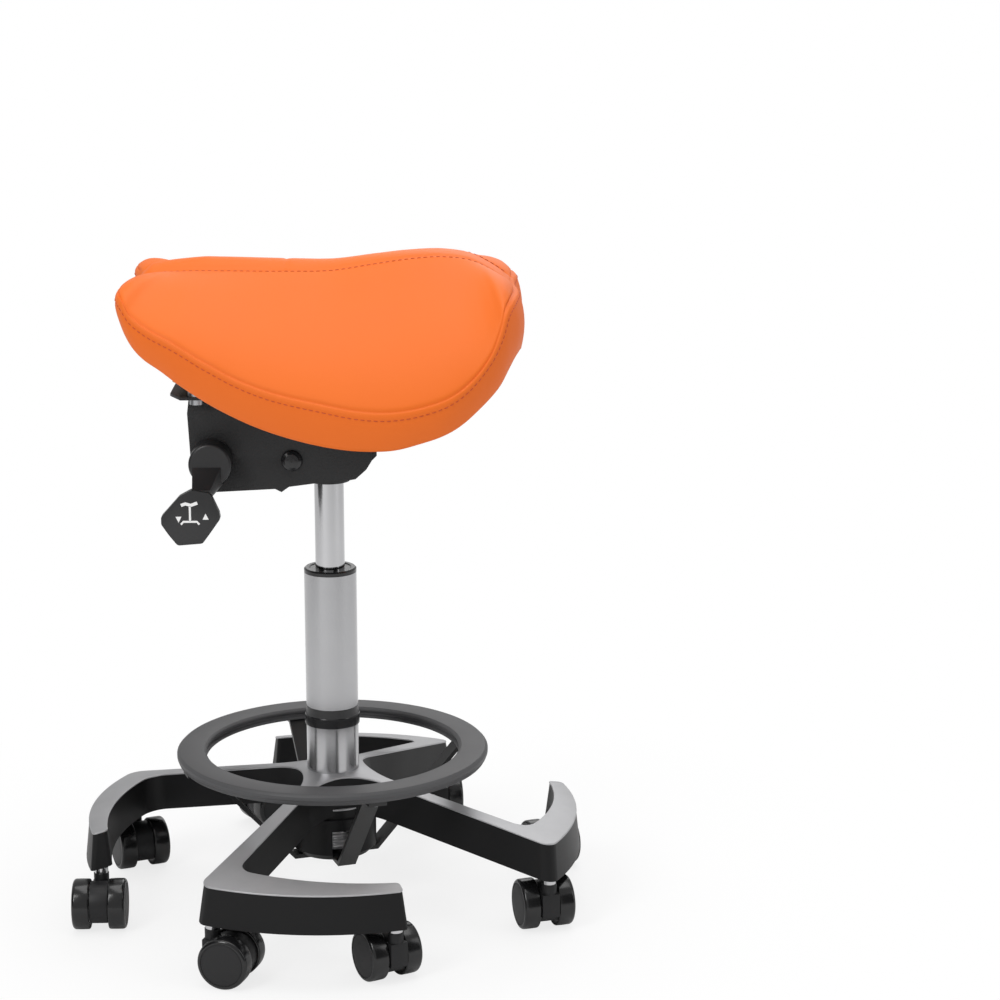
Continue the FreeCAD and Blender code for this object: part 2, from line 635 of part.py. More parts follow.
# Gas lift: a fixed outer tube with its rod, and a cylinder that slides up and down in the guide bush
keep(turned("lift_outer_tube", [
    ("rod_radius", "tube_floor"),
    ("tube_neck", "tube_floor"),
    ("tube_neck", "collar_a"),
    ("tube_radius", "collar_a"),
    ("tube_radius", "collar_a + collar_band"),
    ("tube_neck", "collar_a + collar_band"),
    ("tube_neck", "collar_b"),
    ("tube_radius", "collar_b"),
    ("tube_radius", "collar_b + collar_band"),
    ("tube_neck", "collar_b + collar_band"),
    ("tube_neck", "hub_floor"),
    ("tube_radius", "hub_floor"),
    ("tube_radius", "tube_top"),
    ("tube_radius - tube_wall", "tube_top"),
    ("tube_radius - tube_wall", "hub_floor + tube_wall * 2"),
    ("tube_neck - tube_wall", "hub_floor"),
    ("tube_neck - tube_wall", "tube_floor + tube_plate"),
    ("rod_radius", "tube_floor + tube_plate"),
]), "lift_outer_tube")
keep(turned("column_band", [
    ("tube_radius", "band_low"),
    ("tube_radius + band_thick", "band_low"),
    ("tube_radius + band_thick", "band_low + band_height * 0.5"),
    ("tube_radius + band_thick * 0.7", "band_low + band_height * 0.55"),
    ("tube_radius + band_thick * 0.25", "band_low + band_height"),
    ("tube_radius", "band_low + band_height"),
]), "column_band")
keep(turned("guide_bush", [
    ("cylinder_radius + running_gap", "tube_top - bush_length"),
    ("tube_radius - tube_wall", "tube_top - bush_length"),
    ("tube_radius - tube_wall", "tube_top"),
    ("tube_radius", "tube_top"),
    ("tube_radius", "tube_top + cap_height * 0.7"),
    ("tube_radius - cap_height * 0.3", "tube_top + cap_height"),
    ("tube_radius - cap_height * 1.1", "tube_top + cap_height"),
    ("tube_radius - cap_height * 1.3", "tube_top + cap_height * 0.8"),
    ("cylinder_radius + running_gap", "tube_top + cap_height * 0.8"),
]), "guide_bush")
keep(turned("gas_cylinder", [
    ("rod_radius + running_gap", "cylinder_low"),
    ("cylinder_radius - 1", "cylinder_low"),
    ("cylinder_radius", "cylinder_low + 1"),
    ("cylinder_radius", "taper_low"),
    ("taper_top_radius", "taper_low + taper_length"),
    ("button_radius + running_gap", "taper_low + taper_length"),
    ("button_radius + running_gap", "button_low - button_travel"),
    ("0", "button_low - button_travel"),
    ("0", "cylinder_head"),
    ("cylinder_bore", "cylinder_head"),
    ("cylinder_bore", "cylinder_low + cylinder_end"),
    ("rod_radius + running_gap", "cylinder_low + cylinder_end"),
]), "gas_cylinder")
keep(turned("piston_rod", [
    ("0", "rod_low"),
    ("rod_radius", "rod_low"),
    ("rod_radius", "piston_top - piston_height"),
    ("cylinder_bore - running_gap", "piston_top - piston_height"),
    ("cylinder_bore - running_gap", "piston_top"),
    ("0", "piston_top"),
]), "piston_rod")
keep(turned("thrust_bearing", [
    ("rod_radius", "tube_floor + tube_plate"),
    ("bearing_radius", "tube_floor + tube_plate"),
    ("bearing_radius", "tube_floor + tube_plate + bearing_height"),
    ("rod_radius", "tube_floor + tube_plate + bearing_height"),
]), "thrust_bearing")
keep(turned("base_clip", [
    ("rod_radius", "tube_floor - clip_height"),
    ("clip_radius", "tube_floor - clip_height"),
    ("clip_radius", "tube_floor"),
    ("rod_radius", "tube_floor"),
]), "base_clip")
keep(turned("valve_button", [
    ("0", "button_low"),
    ("button_radius", "button_low"),
    ("button_radius", "button_top - button_radius / 4"),
    ("button_radius * 0.75", "button_top"),
    ("0", "button_top"),
]), "valve_button")


# Inner bracket: a taper socket on the gas cylinder between two side walls, with an arc slot in each
# wall for the clamp bolt and two lugs for the height lever. Its outline is in parts of its length and
# height, from the lower front corner.
BRACKET_OUTLINE = [(0, 0), (0, 0.9636), (0.1537, 1), (0.3442, 0.8727), (1, 0.7818), (1, 0.5273),
                   (0.9017, 0.2364), (0.8033, 0.1636)]


def spread(parts, left, right, low, high):
    # points given in parts of a length and a height
    return [(left + part * (right - left), low + rise * (high - low)) for part, rise in parts]


def acrossSeat(outline, low, high):
    # a plate standing along the seat, between two distances across it
    face = Part.Face(Part.makePolygon([vec(x, low, z) for x, z in outline + outline[:1]]))
    return face.extrude(vec(0, high - low, 0))


def boltAlong(radius, low, high, x, z):
    return Part.makeCylinder(radius, high - low, vec(x, low, z), vec(0, 1, 0))


def arcSlot(half):
    # the path of the clamp bolt around the pivot while the seat tilts
    x, z = size("pivot_along"), size("pivot_height")
    reach = math.hypot(size("clamp_along") - x, size("clamp_rise"))
    radius = size("clamp_radius") + size("side_gap")
    limit = size("tilt_limit")
    start = math.degrees(math.atan2(size("clamp_rise"), size("clamp_along") - x))
    low = vec(x, -half, z)
    back = vec(0, 1, 0)
    pieces = []
    for turn in (-limit, limit):
        spot = polar(reach, start + turn)
        pieces.append(boltAlong(radius, -half, half, x + spot.x, z + spot.y))
    sweep = Part.makeCylinder(reach + radius, 2 * half, low, back, 2 * limit)
    sweep = sweep.cut(Part.makeCylinder(reach - radius, 2 * half, low, back))
    middle = sweep.Solids[0].CenterOfMass
    now = math.degrees(math.atan2(middle.z - z, middle.x - x))
    sweep.rotate(vec(x, 0, z), back, now - start)
    return sweep.fuse(pieces)


def innerBracket():
    half, wall = size("bracket_half"), size("bracket_wall")
    z = size("pivot_height")
    low, high = z - size("bracket_low"), z + size("bracket_high")
    outline = spread(BRACKET_OUTLINE, size("bracket_front"), size("bracket_rear"), low, high)
    walls = [acrossSeat(outline, side, side + wall) for side in (-half, half - wall)]
    under = [outline[0], outline[-1]]
    thick = size("bracket_floor")
    floor = acrossSeat(under + [(x, level + thick) for x, level in under[::-1]], -half, half)
    foot, tall = size("taper_low"), size("taper_length")
    socket = Part.makeCylinder(size("socket_radius"), tall, vec(0, 0, foot))
    lever = size("handle_pivot")
    rise = z + size("handle_rise")
    lug = size("lug_width")
    reach = size("trunnion_reach")
    inner = size("handle_radius") + 2 * size("side_gap") + size("trunnion_radius")
    lugs = []
    for near, far in ((-reach, -inner), (inner, reach)):
        lugs.append(Part.makeBox(far - near, lug, rise + lug / 2 - foot, vec(near, lever - lug / 2, foot)))
    bridge = Part.makeBox(2 * reach, 2 * half - wall, size("bridge_thick"),
                          vec(-reach, wall / 2 - half, foot + size("bridge_rise")))
    solid = walls[0].fuse([walls[1], floor, socket, bridge] + lugs)
    solid = solid.cut(arcSlot(half + wall))
    solid = solid.cut(boltAlong(size("pivot_radius"), -half - wall, half + wall, size("pivot_along"), z))
    taper = Part.makeCone(size("cylinder_radius"), size("taper_top_radius"), tall, vec(0, 0, foot))
    below = Part.makeCylinder(size("cylinder_radius"), tall, vec(0, 0, foot - tall))
    pins = Part.makeCylinder(size("trunnion_radius") + size("running_gap"), 3 * reach,
                             vec(-1.5 * reach, lever, rise), vec(1, 0, 0))
    return solid.cut(Part.makeCompound([taper, below, pins])).removeSplitter()


keep(shaped("inner_bracket", innerBracket()), "inner_bracket")


# Tilt housing: an inverted channel whose sides hang over the bracket, with a window on the far side
# that lets the height lever through at every tilt. Its outline starts at the upper front corner.
HOUSING_FRONT = [(0, 1), (-0.0119, 0.8287), (0, 0.3978)]
HOUSING_OUTLINE = HOUSING_FRONT + [
    (0.0119, 0.0442), (0.1012, 0), (0.4643, 0.0332), (0.5, 0), (0.5417, 0.0553), (0.6786, 0.0884),
    (0.8393, 0.1105), (0.9107, 0.1326), (0.9702, 0.232), (1, 0.3204), (1, 1)]


def tiltHousing():
    half, wall = size("housing_half"), size("housing_wall")
    front, rear = size("housing_front"), size("housing_rear")
    z = size("pivot_height")
    low, top = z - size("housing_low"), size("plate_low")
    outline = spread(HOUSING_OUTLINE, front, rear, low, top)
    sides = [acrossSeat(outline, side, side + wall) for side in (-half, half - wall)]
    web = acrossSeat([(front, top), (front, top - wall), (rear, top - wall), (rear, top)], -half, half)
    face = spread(HOUSING_FRONT, front, rear, low, top)
    nose = acrossSeat(face + [(x + wall, level) for x, level in face[::-1]], -half, half)
    solid = sides[0].fuse([sides[1], web, nose])
    pivot = boltAlong(size("pivot_radius") + size("running_gap"), -half - wall, half + wall,
                      size("pivot_along"), z)
    clamp = boltAlong(size("clamp_radius"), -half - wall, half + wall, size("clamp_along"),
                      z + size("clamp_rise"))
    room = size("handle_radius") + size("window_room")
    opening = Part.makeBox(2 * room, 3 * wall, 2 * room,
                           vec(-room, half - 2 * wall, z + size("handle_rise") - room))
    return solid.cut(Part.makeCompound([pivot, clamp, opening])).removeSplitter()


keep(shaped("tilt_housing", tiltHousing()), "tilt_housing")


# Pivot bolt with a domed head each side
DOME_STEPS = (0, 25, 50, 72, 90)
seat = "housing_half + side_gap"
section = []
for side, steps in (("-", DOME_STEPS[::-1]), ("", DOME_STEPS)):
    head = [("pivot_head * cos(%d)" % step if step < 90 else "0",
             "%s ( %s + pivot_dome * sin(%d) )" % (side, seat, step)) for step in steps]
    neck = [("pivot_radius", "%s ( %s )" % (side, seat))]
    section += head + neck if side else neck + head
keep(turned("pivot_bolt", section, placed(size("pivot_along"), 0, size("pivot_height"), -90, (1, 0, 0))),
     "pivot_bolt")


# Clamp bolt, which the tilt lever tightens
def clampBolt():
    half = size("housing_half")
    x, z = size("clamp_along"), size("pivot_height") + size("clamp_rise")
    tall = size("nut_height")
    bolt = boltAlong(size("clamp_radius"), size("lever_cap") - size("lever_outer"), half + 1.3 * tall, x, z)
    ring = [polar(size("clamp_nut"), 60 * corner) for corner in range(6)]
    nut = acrossSeat([(x + spot.x, z + spot.y) for spot in ring], half, half + tall)
    return bolt.fuse(nut).removeSplitter()


keep(shaped("tilt_clamp_bolt", clampBolt()), "tilt_clamp_bolt")


# Tilt lever: a round boss on the clamp bolt, an arm that leads out and down, and a flat paddle.
# The paddle's outline and the arm's outer end are in parts of the paddle's width and height, and the
# arm's inner end in parts of the boss's radius.
PADDLE_OUTLINE = [(0.5185, 1), (0.3148, 0.8868), (0, 0.5283), (0, 0.3962), (0.2593, 0), (0.6852, 0.0377),
                  (1, 0.4906), (0.9815, 0.6038), (0.8333, 0.9434)]
PADDLE_BEVEL = 0.21
LEVER_ROOT = [(-0.85, -0.85), (0.7, 0.3)]
LEVER_NECK = [(0.528, 0.83), (0.833, 0.981)]


def boxLoft(first, second):
    wires = []
    for y, low, high in (first, second):
        spots = [vec(low[0], y, low[1]), vec(high[0], y, low[1]), vec(high[0], y, high[1]),
                 vec(low[0], y, high[1])]
        wires.append(Part.makePolygon(spots + spots[:1]))
    return Part.makeLoft(wires, True, True)


def tiltLever():
    x, z = size("clamp_along"), size("pivot_height") + size("clamp_rise")
    radius, cap = size("lever_boss"), size("lever_cap")
    inner, outer = size("lever_inner"), size("lever_outer")
    boss = boltAlong(radius, -outer, -inner, x, z)
    rim = [edge for edge in boss.Edges if edge.Closed and edge.CenterOfMass.y < -(inner + outer) / 2]
    boss = boss.makeFillet(size("lever_round"), rim)
    face, thick = size("paddle_inner"), size("paddle_thick")
    wide, tall = size("paddle_width"), size("paddle_tall")
    left = x - size("paddle_lead")
    high = z - size("paddle_drop")
    low = high - tall
    paddle = acrossSeat(spread(PADDLE_OUTLINE, left, left + wide, low, high), -face - thick, -face)
    upright = [edge for edge in paddle.Edges if abs(edge.Vertexes[0].Y - edge.Vertexes[-1].Y) > thick / 2]
    paddle = paddle.makeFillet(size("paddle_round"), upright)
    edge = low + tall * PADDLE_BEVEL
    bevel = [vec(left - wide, -face - thick, edge), vec(left - wide, -face - thick, low - tall * PADDLE_BEVEL),
             vec(left - wide, -face, low - tall * PADDLE_BEVEL)]
    paddle = paddle.cut(Part.Face(Part.makePolygon(bevel + bevel[:1])).extrude(vec(3 * wide, 0, 0)))
    root = spread(LEVER_ROOT, x, x + radius, z, z + radius)
    neck = spread(LEVER_NECK, left, left + wide, low, high)
    arm = boxLoft((cap * 1.5 - outer, *root), (-face - thick * 0.6, *neck))
    solid = boss.fuse([paddle, arm])
    shaft = boltAlong(size("clamp_radius") + size("running_gap"), cap - size("side_gap") - outer,
                      size("side_gap") - inner, x, z)
    return solid.cut(shaft).removeSplitter()


keep(shaped("tilt_lever", tiltLever()), "tilt_lever")


# Height lever: a bent rod on trunnions whose inner end lies over the valve button
def heightLever():
    z = size("pivot_height") + size("handle_rise")
    radius = size("handle_radius")
    bend, grip, end = size("handle_bend"), size("handle_grip"), size("handle_end")
    low = z - size("handle_drop")
    start = vec(0, -size("button_radius"), z)
    corner = vec(0, bend, z)
    tail = vec(0, grip, low)
    inner = Part.makeCylinder(radius, corner.distanceToPoint(start), start, vec(0, 1, 0))
    fall = tail - corner
    slope = Part.makeCylinder(radius, fall.Length, corner, fall)
    joints = [Part.makeSphere(radius, corner), Part.makeSphere(radius, tail)]
    trunnions = Part.makeCylinder(size("trunnion_radius"), 2 * size("trunnion_reach"),
                                  vec(-size("trunnion_reach"), size("handle_pivot"), z), vec(1, 0, 0))
    half, thick = size("grip_half"), size("grip_thick")
    pad = Part.makeBox(2 * half, end - grip + radius, thick, vec(-half, grip - radius, low - thick / 2))
    upright = [edge for edge in pad.Edges if abs(edge.Vertexes[0].Z - edge.Vertexes[-1].Z) > thick / 2]
    pad = pad.makeFillet(half * 0.6, upright)
    return inner.fuse([slope, trunnions, pad] + joints).removeSplitter()


keep(shaped("height_lever", heightLever()), "height_lever")

# Seat plate and board, held apart by spacers on four bolts
plateLow = size("plate_low")
plate = padded("seat_plate_blank", "XY_Plane", [
    ("plate_front", "plate_corner - plate_half"),
    ("plate_front + plate_corner * 0.5", "- plate_half"),
    ("plate_rear", "- plate_half"),
    ("plate_rear", "plate_half"),
    ("plate_front + plate_corner * 0.5", "plate_half"),
    ("plate_front", "plate_half - plate_corner"),
], "plate_thick", placed(z=plateLow + size("plate_thick") / 2))
board = padded("seat_board_blank", "XY_Plane", [
    ("board_front", "plate_corner - board_half"),
    ("board_front + plate_corner * 0.5", "- board_half"),
    ("board_rear", "- board_half"),
    ("board_rear", "board_half"),
    ("board_front + plate_corner * 0.5", "board_half"),
    ("board_front", "board_half - plate_corner"),
], "board_thick", placed(z=size("board_low") + size("board_thick") / 2))
bolts, spacers, holes = [], [], []
for along in ("front", "rear"):
    for side, mark in ((-1, "near"), (1, "far")):
        x, y = size("bolt_" + along), side * size("bolt_half")
        tag = along + "_" + mark
        headLow = plateLow - size("bolt_head_height")
        length = "plate_thick + spacer_height + board_thick - soft_gap"
        head = rod("bolt_head_" + tag, "bolt_head", "bolt_head_height", placed(x, y, headLow))
        shank = rod("bolt_shank_" + tag, "bolt_radius", length, placed(x, y, plateLow))
        bolts.append(fused("bolt_" + tag, [head, shank]))
        holes.append(rod("bolt_hole_" + tag, "bolt_radius", "2 * ( " + length + " )", placed(x, y, headLow)))
        sleeve = rod("spacer_" + tag, "spacer_radius", "spacer_height",
                     placed(x, y, plateLow + size("plate_thick")))
        spacers.append(cut("spacer_ring_" + tag, sleeve, rod(
            "spacer_hole_" + tag, "bolt_radius", "2 * ( " + length + " )", placed(x, y, headLow))))
keep(cut("seat_plate", plate, grouped("plate_holes", holes)), "seat_plate")
keep(cut("seat_board", board, grouped("board_holes", holes)), "seat_board")
keep(grouped("seat_bolts", bolts), "seat_bolts")
keep(grouped("seat_spacers", spacers), "seat_spacers")


# Seat cushion: sections across the seat, each with a full middle strip between two sewn channels,
# two full side panels, a perimeter band drawn in at its hem, and an underside over the board
def bulge(start, end, rise):
    # an arc between two points of a section, raised to the left of its direction
    along = end - start
    side = vec(0, -along.z, along.y).normalize()
    return arcEdge(start, (start + end) * 0.5 + side * rise, end)


def cushionSection(share, ridge, sway, tall, curl):
    # share is the place along the seat, the others are parts of the largest sizes
    x = size("seat_front") + share * (size("seat_rear") - size("seat_front"))
    width, fall, band = ridge
    top = size("seat_ridge") + size("seat_sway") * sway
    half = size("seam_half") * width
    seam = top - size("seam_drop") * fall
    hem = seam - size("band_tall") * band
    inset = size("hem_inset") * tall
    strip = size("ridge_half")
    base = size("board_top") + size("soft_gap") + size("seat_curl") * curl
    foot = size("board_half") + size("cushion_rim")
    near = [vec(x, -strip, top), vec(x, -half, seam), vec(x, inset - half, hem), vec(x, -foot, base)]
    far = [vec(x, -spot.y, spot.z) for spot in near]
    fullness = size("panel_puff") * width ** 2
    return Part.Wire([
        bulge(far[0], near[0], -size("ridge_puff")),
        bulge(near[0], near[1], -fullness),
        bulge(near[1], near[2], -size("hem_puff")),
        bulge(near[2], near[3], size("hem_puff")),
        lineEdge(near[3], far[3]),
        bulge(far[3], far[2], size("hem_puff")),
        bulge(far[2], far[1], -size("hem_puff")),
        bulge(far[1], far[0], -fullness),
    ])


# place along the seat: (seam half width, seam drop, band height), ridge height, inset, underside,
# all in parts of the largest
STATIONS = [
    (0.0, (0.56, 0.03, 0.62), -0.36, 0.6, 1),
    (0.05, (0.66, 0.1, 0.72), 0.07, 0.8, 0.69),
    (0.14, (0.79, 0.38, 0.9), 0, 1, 0.08),
    (0.28, (0.87, 0.72, 0.98), 0, 1, 0),
    (0.46, (0.95, 0.9, 1), 0, 1, 0),
    (0.64, (1, 1.04, 1), 0.64, 1, 0),
    (0.78, (0.98, 1, 0.98), 1, 1, 0),
    (0.88, (0.86, 0.84, 0.9), 0.93, 1, 0.06),
    (0.96, (0.68, 0.38, 0.75), 0.14, 0.8, 0.45),
    (1.0, (0.54, 0.12, 0.65), -1, 0.6, 0.69),
]


def seatCushion():
    wires = [cushionSection(*station) for station in STATIONS]
    body = Part.makeLoft(wires, True, False)
    depth, radius = size("notch_depth"), size("notch_radius")
    low = size("pivot_height")
    for end, side in (("seat_front", -1), ("seat_rear", 1)):
        x = size(end) + side * (radius - depth)
        body = body.cut(Part.makeCylinder(radius, size("seat_ridge"), vec(x, 0, low)))
    # the pocket in the foam that takes the seat board
    gap, half = size("soft_gap"), size("board_half") + size("soft_gap")
    front, rear = size("board_front") - gap, size("board_rear") + gap
    pocket = Part.makeBox(rear - front, 2 * half, size("board_top") + gap - low, vec(front, -half, low))
    return body.cut(pocket)


keep(shaped("seat_cushion", seatCushion()), "seat_cushion")

doc.recompute()
for thing in doc.Objects:
    if "Invalid" in thing.State or "Error" in thing.State:
        raise RuntimeError("%s did not build: %s" % (thing.Name, thing.State))
for thing in nodes:
    if thing.Shape.isNull() or not thing.Shape.isValid():
        raise RuntimeError("%s has no valid shape" % thing.Label)
    if not thing.Shape.Solids:
        raise RuntimeError("%s has no solid" % thing.Label)
os.makedirs("parts", exist_ok=True)
for thing in nodes:
    thing.Shape.exportStep("parts/%s.step" % thing.Label)
    box = thing.Shape.BoundBox
    print("%-28s solids %d  volume %9.0f  x %7.1f %7.1f  y %7.1f %7.1f  z %6.1f %6.1f" % (
        thing.Label, len(thing.Shape.Solids), thing.Shape.Volume,
        box.XMin, box.XMax, box.YMin, box.YMax, box.ZMin, box.ZMax))
print("%d nodes" % len(nodes))
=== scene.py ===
# Saddle stool on eight castors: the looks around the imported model, in metres, seat front towards -X.
import json
import math
import bmesh
import bpy
import numpy as np
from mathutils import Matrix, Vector

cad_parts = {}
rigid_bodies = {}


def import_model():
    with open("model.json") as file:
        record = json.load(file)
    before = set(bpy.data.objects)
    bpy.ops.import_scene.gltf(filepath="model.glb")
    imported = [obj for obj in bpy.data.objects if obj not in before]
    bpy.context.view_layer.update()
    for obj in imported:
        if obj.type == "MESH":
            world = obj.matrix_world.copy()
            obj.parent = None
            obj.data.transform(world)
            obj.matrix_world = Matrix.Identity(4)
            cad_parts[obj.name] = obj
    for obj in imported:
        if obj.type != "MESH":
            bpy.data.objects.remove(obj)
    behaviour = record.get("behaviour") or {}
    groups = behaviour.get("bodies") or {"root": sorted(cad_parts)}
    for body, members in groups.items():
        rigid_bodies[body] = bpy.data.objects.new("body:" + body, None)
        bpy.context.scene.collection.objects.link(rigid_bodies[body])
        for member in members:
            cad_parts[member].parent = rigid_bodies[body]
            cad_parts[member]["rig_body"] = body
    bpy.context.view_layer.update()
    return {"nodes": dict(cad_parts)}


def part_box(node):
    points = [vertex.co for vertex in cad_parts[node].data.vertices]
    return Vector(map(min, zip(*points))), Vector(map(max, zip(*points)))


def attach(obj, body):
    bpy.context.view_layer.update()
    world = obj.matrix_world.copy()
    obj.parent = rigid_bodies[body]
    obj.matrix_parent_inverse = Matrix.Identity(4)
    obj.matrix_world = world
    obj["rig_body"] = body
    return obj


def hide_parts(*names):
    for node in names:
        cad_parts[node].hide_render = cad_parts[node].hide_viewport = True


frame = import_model()
nodes = frame["nodes"]
mm = 0.001
print("frame loaded:", len(nodes), "nodes")


# camera, floor and light
cameraSettings = {"place": (0.1244, -2.5428, 0.9853), "turn": (76.96, 0.05, -0.86), "lens": 98.96}
cameraData = bpy.data.cameras.new("camera")
cameraData.lens = cameraSettings["lens"]
cameraData.sensor_width = 36
cameraData.clip_end = 50
camera = bpy.data.objects.new("camera", cameraData)
camera.location = cameraSettings["place"]
camera.rotation_euler = [math.radians(angle) for angle in cameraSettings["turn"]]
bpy.context.scene.collection.objects.link(camera)
bpy.context.scene.camera = camera
bpy.context.scene.view_settings.view_transform = "Standard"


# a socket that can stand in a sum
class Flow:
    def __init__(self, finish, socket):
        self.finish = finish
        self.socket = socket

    def sum(self, operation, first, second):
        return self.finish.node("ShaderNodeMath", {"operation": operation}, {0: first, 1: second})

    def __add__(self, other):
        return self.sum("ADD", self, other)

    def __radd__(self, other):
        return self.sum("ADD", other, self)

    def __sub__(self, other):
        return self.sum("SUBTRACT", self, other)

    def __rsub__(self, other):
        return self.sum("SUBTRACT", other, self)

    def __mul__(self, other):
        return self.sum("MULTIPLY", self, other)

    def __rmul__(self, other):
        return self.sum("MULTIPLY", other, self)

    def __truediv__(self, other):
        return self.sum("DIVIDE", self, other)

    def __rtruediv__(self, other):
        return self.sum("DIVIDE", other, self)

    def __pow__(self, other):
        return self.sum("POWER", self, other)


def linear(red, green, blue):
    # a colour as the eye names it, 0 to 255, as light
    shares = [part / 255 for part in (red, green, blue)]
    return tuple(s / 12.92 if s <= 0.04045 else ((s + 0.055) / 1.055) ** 2.4 for s in shares) + (1,)


class Finish:
    def __init__(self, name, tree=None):
        self.material = None
        if tree is None:
            self.material = bpy.data.materials.new(name)
            self.material.use_nodes = True
            tree = self.material.node_tree
            self.shader = tree.nodes["Principled BSDF"]
        self.tree = tree

    def put(self, socket, given):
        if isinstance(given, Flow):
            self.tree.links.new(given.socket, socket)
        else:
            socket.default_value = given

    def node(self, kind, settings=None, inputs=None, out=0):
        made = self.tree.nodes.new(kind)
        for key, given in (settings or {}).items():
            if key == "stops":
                ramp = made.color_ramp
                while len(ramp.elements) < len(given):
                    ramp.elements.new(0.5)
                for element, (place, colour) in zip(ramp.elements, given):
                    element.position, element.color = place, colour
            else:
                setattr(made, key, given)
        for key, given in (inputs or {}).items():
            self.put(made.inputs[key], given)
        return Flow(self, made.outputs[out])

    def where(self):
        return self.node("ShaderNodeTexCoord", out="Object")

    def noise(self, scale, detail=2, rough=0.5, at=None):
        return self.node("ShaderNodeTexNoise", {}, {"Vector": at or self.where(), "Scale": scale,
                                                    "Detail": detail, "Roughness": rough})

    def ramp(self, factor, *stops):
        grey = [(place, (level, level, level, 1)) for place, level in stops]
        return self.node("ShaderNodeValToRGB", {"stops": grey}, {"Fac": factor})

    def mix(self, factor, first, second):
        return self.node("ShaderNodeMix", {"data_type": "RGBA"}, {0: factor, 6: first, 7: second}, out=2)

    def bump(self, height, strength, distance):
        return self.node("ShaderNodeBump", {}, {"Height": height, "Strength": strength,
                                                "Distance": distance})

    def set(self, **sockets):
        for key, given in sockets.items():
            self.put(self.shader.inputs[key.replace("_", " ")], given)
        return self


def satin(name, colour, roughness, metallic=0, grain=900, depth=0.00006, spread=0.12, coat=0, specular=0.5,
          patch=14):
    # a moulded, painted or metal finish: fine grain, faint patches of gloss and tone
    finish = Finish(name)
    grainy = finish.noise(grain, 3, 0.6)
    patchy = finish.noise(patch, 2)
    darker = tuple(part * (1 - spread) for part in colour[:3]) + (1,)
    finish.set(Base_Color=finish.mix(patchy, darker, colour),
               Roughness=roughness * (1 - spread) + patchy * (2 * spread * roughness),
               Normal=finish.bump(grainy, 0.6, depth))
    finish.set(Metallic=metallic, Coat_Weight=coat, Specular_IOR_Level=specular)
    return finish.material


worldSettings = {"light": 0.55, "shown": 1.0}
world = bpy.data.worlds.new("studio")
bpy.context.scene.world = world
world.use_nodes = True
sky = Finish("studio", world.node_tree)
path = world.node_tree.nodes.new("ShaderNodeLightPath")
seen = Flow(sky, path.outputs["Is Camera Ray"]) + Flow(sky, path.outputs["Is Transmission Ray"])
background = world.node_tree.nodes["Background"]
sky.put(background.inputs["Strength"],
        worldSettings["light"] + seen * (worldSettings["shown"] - worldSettings["light"]))
background.inputs["Color"].default_value = (1, 1, 1, 1)


def lamp(name, place, aim, wide, tall, watts):
    data = bpy.data.lights.new(name, "AREA")
    data.shape = "RECTANGLE"
    data.size, data.size_y, data.energy = wide, tall, watts
    thing = bpy.data.objects.new(name, data)
    thing.location = place
    thing.rotation_euler = (Vector(aim) - Vector(place)).to_track_quat("-Z", "Y").to_euler()
    bpy.context.scene.collection.objects.link(thing)


lampSettings = [
    ("lamp_key", (-1.3, -1.7, 1.9), (0, 0, 0.4), 0.7, 1.5, 24),
    ("lamp_top", (0.2, 0.1, 2.4), (0, 0, 0.2), 1.8, 1.8, 24),
    ("lamp_side", (2.0, -0.9, 1.1), (0, 0, 0.3), 0.7, 1.4, 5),
    ("lamp_back", (0.4, 2.0, 1.5), (0, 0, 0.4), 1.4, 1.2, 8),
]
for settings in lampSettings:
    lamp(*settings)


def meshPiece(name, points, faces, material=None, smooth=True):
    mesh = bpy.data.meshes.new(name)
    mesh.from_pydata([tuple(point) for point in points], [], [list(face) for face in faces])
    mesh.update()
    piece = bpy.data.objects.new(name, mesh)
    bpy.context.scene.collection.objects.link(piece)
    if material:
        mesh.materials.append(material)
    if smooth:
        mesh.shade_smooth()
    return piece


floorSettings = {"half": 12, "glow": 0.78, "colour": 0.88, "fadeFrom": 0.26, "fadeTo": 0.62}
half = floorSettings["half"]
floor = meshPiece("floor", [(-half, -half, 0), (half, -half, 0), (half, half, 0), (-half, half, 0)],
                  [(0, 1, 2, 3)], smooth=False)
paper = Finish("pale_floor")
paper.set(Base_Color=(floorSettings["colour"],) * 3 + (1,), Roughness=0.9)
glow = paper.node("ShaderNodeEmission", {}, {"Color": (1, 1, 1, 1), "Strength": 1.0})
lightPath = paper.tree.nodes.new("ShaderNodeLightPath")
cameraSees = Flow(paper, lightPath.outputs["Is Camera Ray"])
away = paper.node("ShaderNodeVectorMath", {"operation": "LENGTH"}, {0: paper.where()}, out=1)
fading = paper.ramp(away, (floorSettings["fadeFrom"], floorSettings["glow"]), (floorSettings["fadeTo"], 1.0))
blended = paper.node("ShaderNodeMixShader", {}, {0: cameraSees * fading,
                                                 1: Flow(paper, paper.shader.outputs[0]), 2: glow})
paper.tree.links.new(blended.socket, paper.tree.nodes["Material Output"].inputs["Surface"])
floor.data.materials.append(paper.material)

# dark cards that only mirror-like metal sees, so that the chrome has dark edges
cardSettings = [("card_left", (-1.6, -0.5, 0.5), (0.8, 1.1)), ("card_right", (1.5, -1.5, 0.5), (0.75, 1.1))]
cardBlack = satin("card_black", (0.02, 0.02, 0.02, 1), 0.9)
for name, place, (wide, tall) in cardSettings:
    side = Vector((place[1], -place[0], 0)).normalized() * wide
    up = Vector((0, 0, tall))
    middle = Vector(place)
    card = meshPiece(name, [middle - side - up, middle + side - up, middle + side + up, middle - side + up],
                     [(0, 1, 2, 3)], cardBlack, smooth=False)
    card.visible_camera = card.visible_diffuse = card.visible_shadow = False
print("studio made")


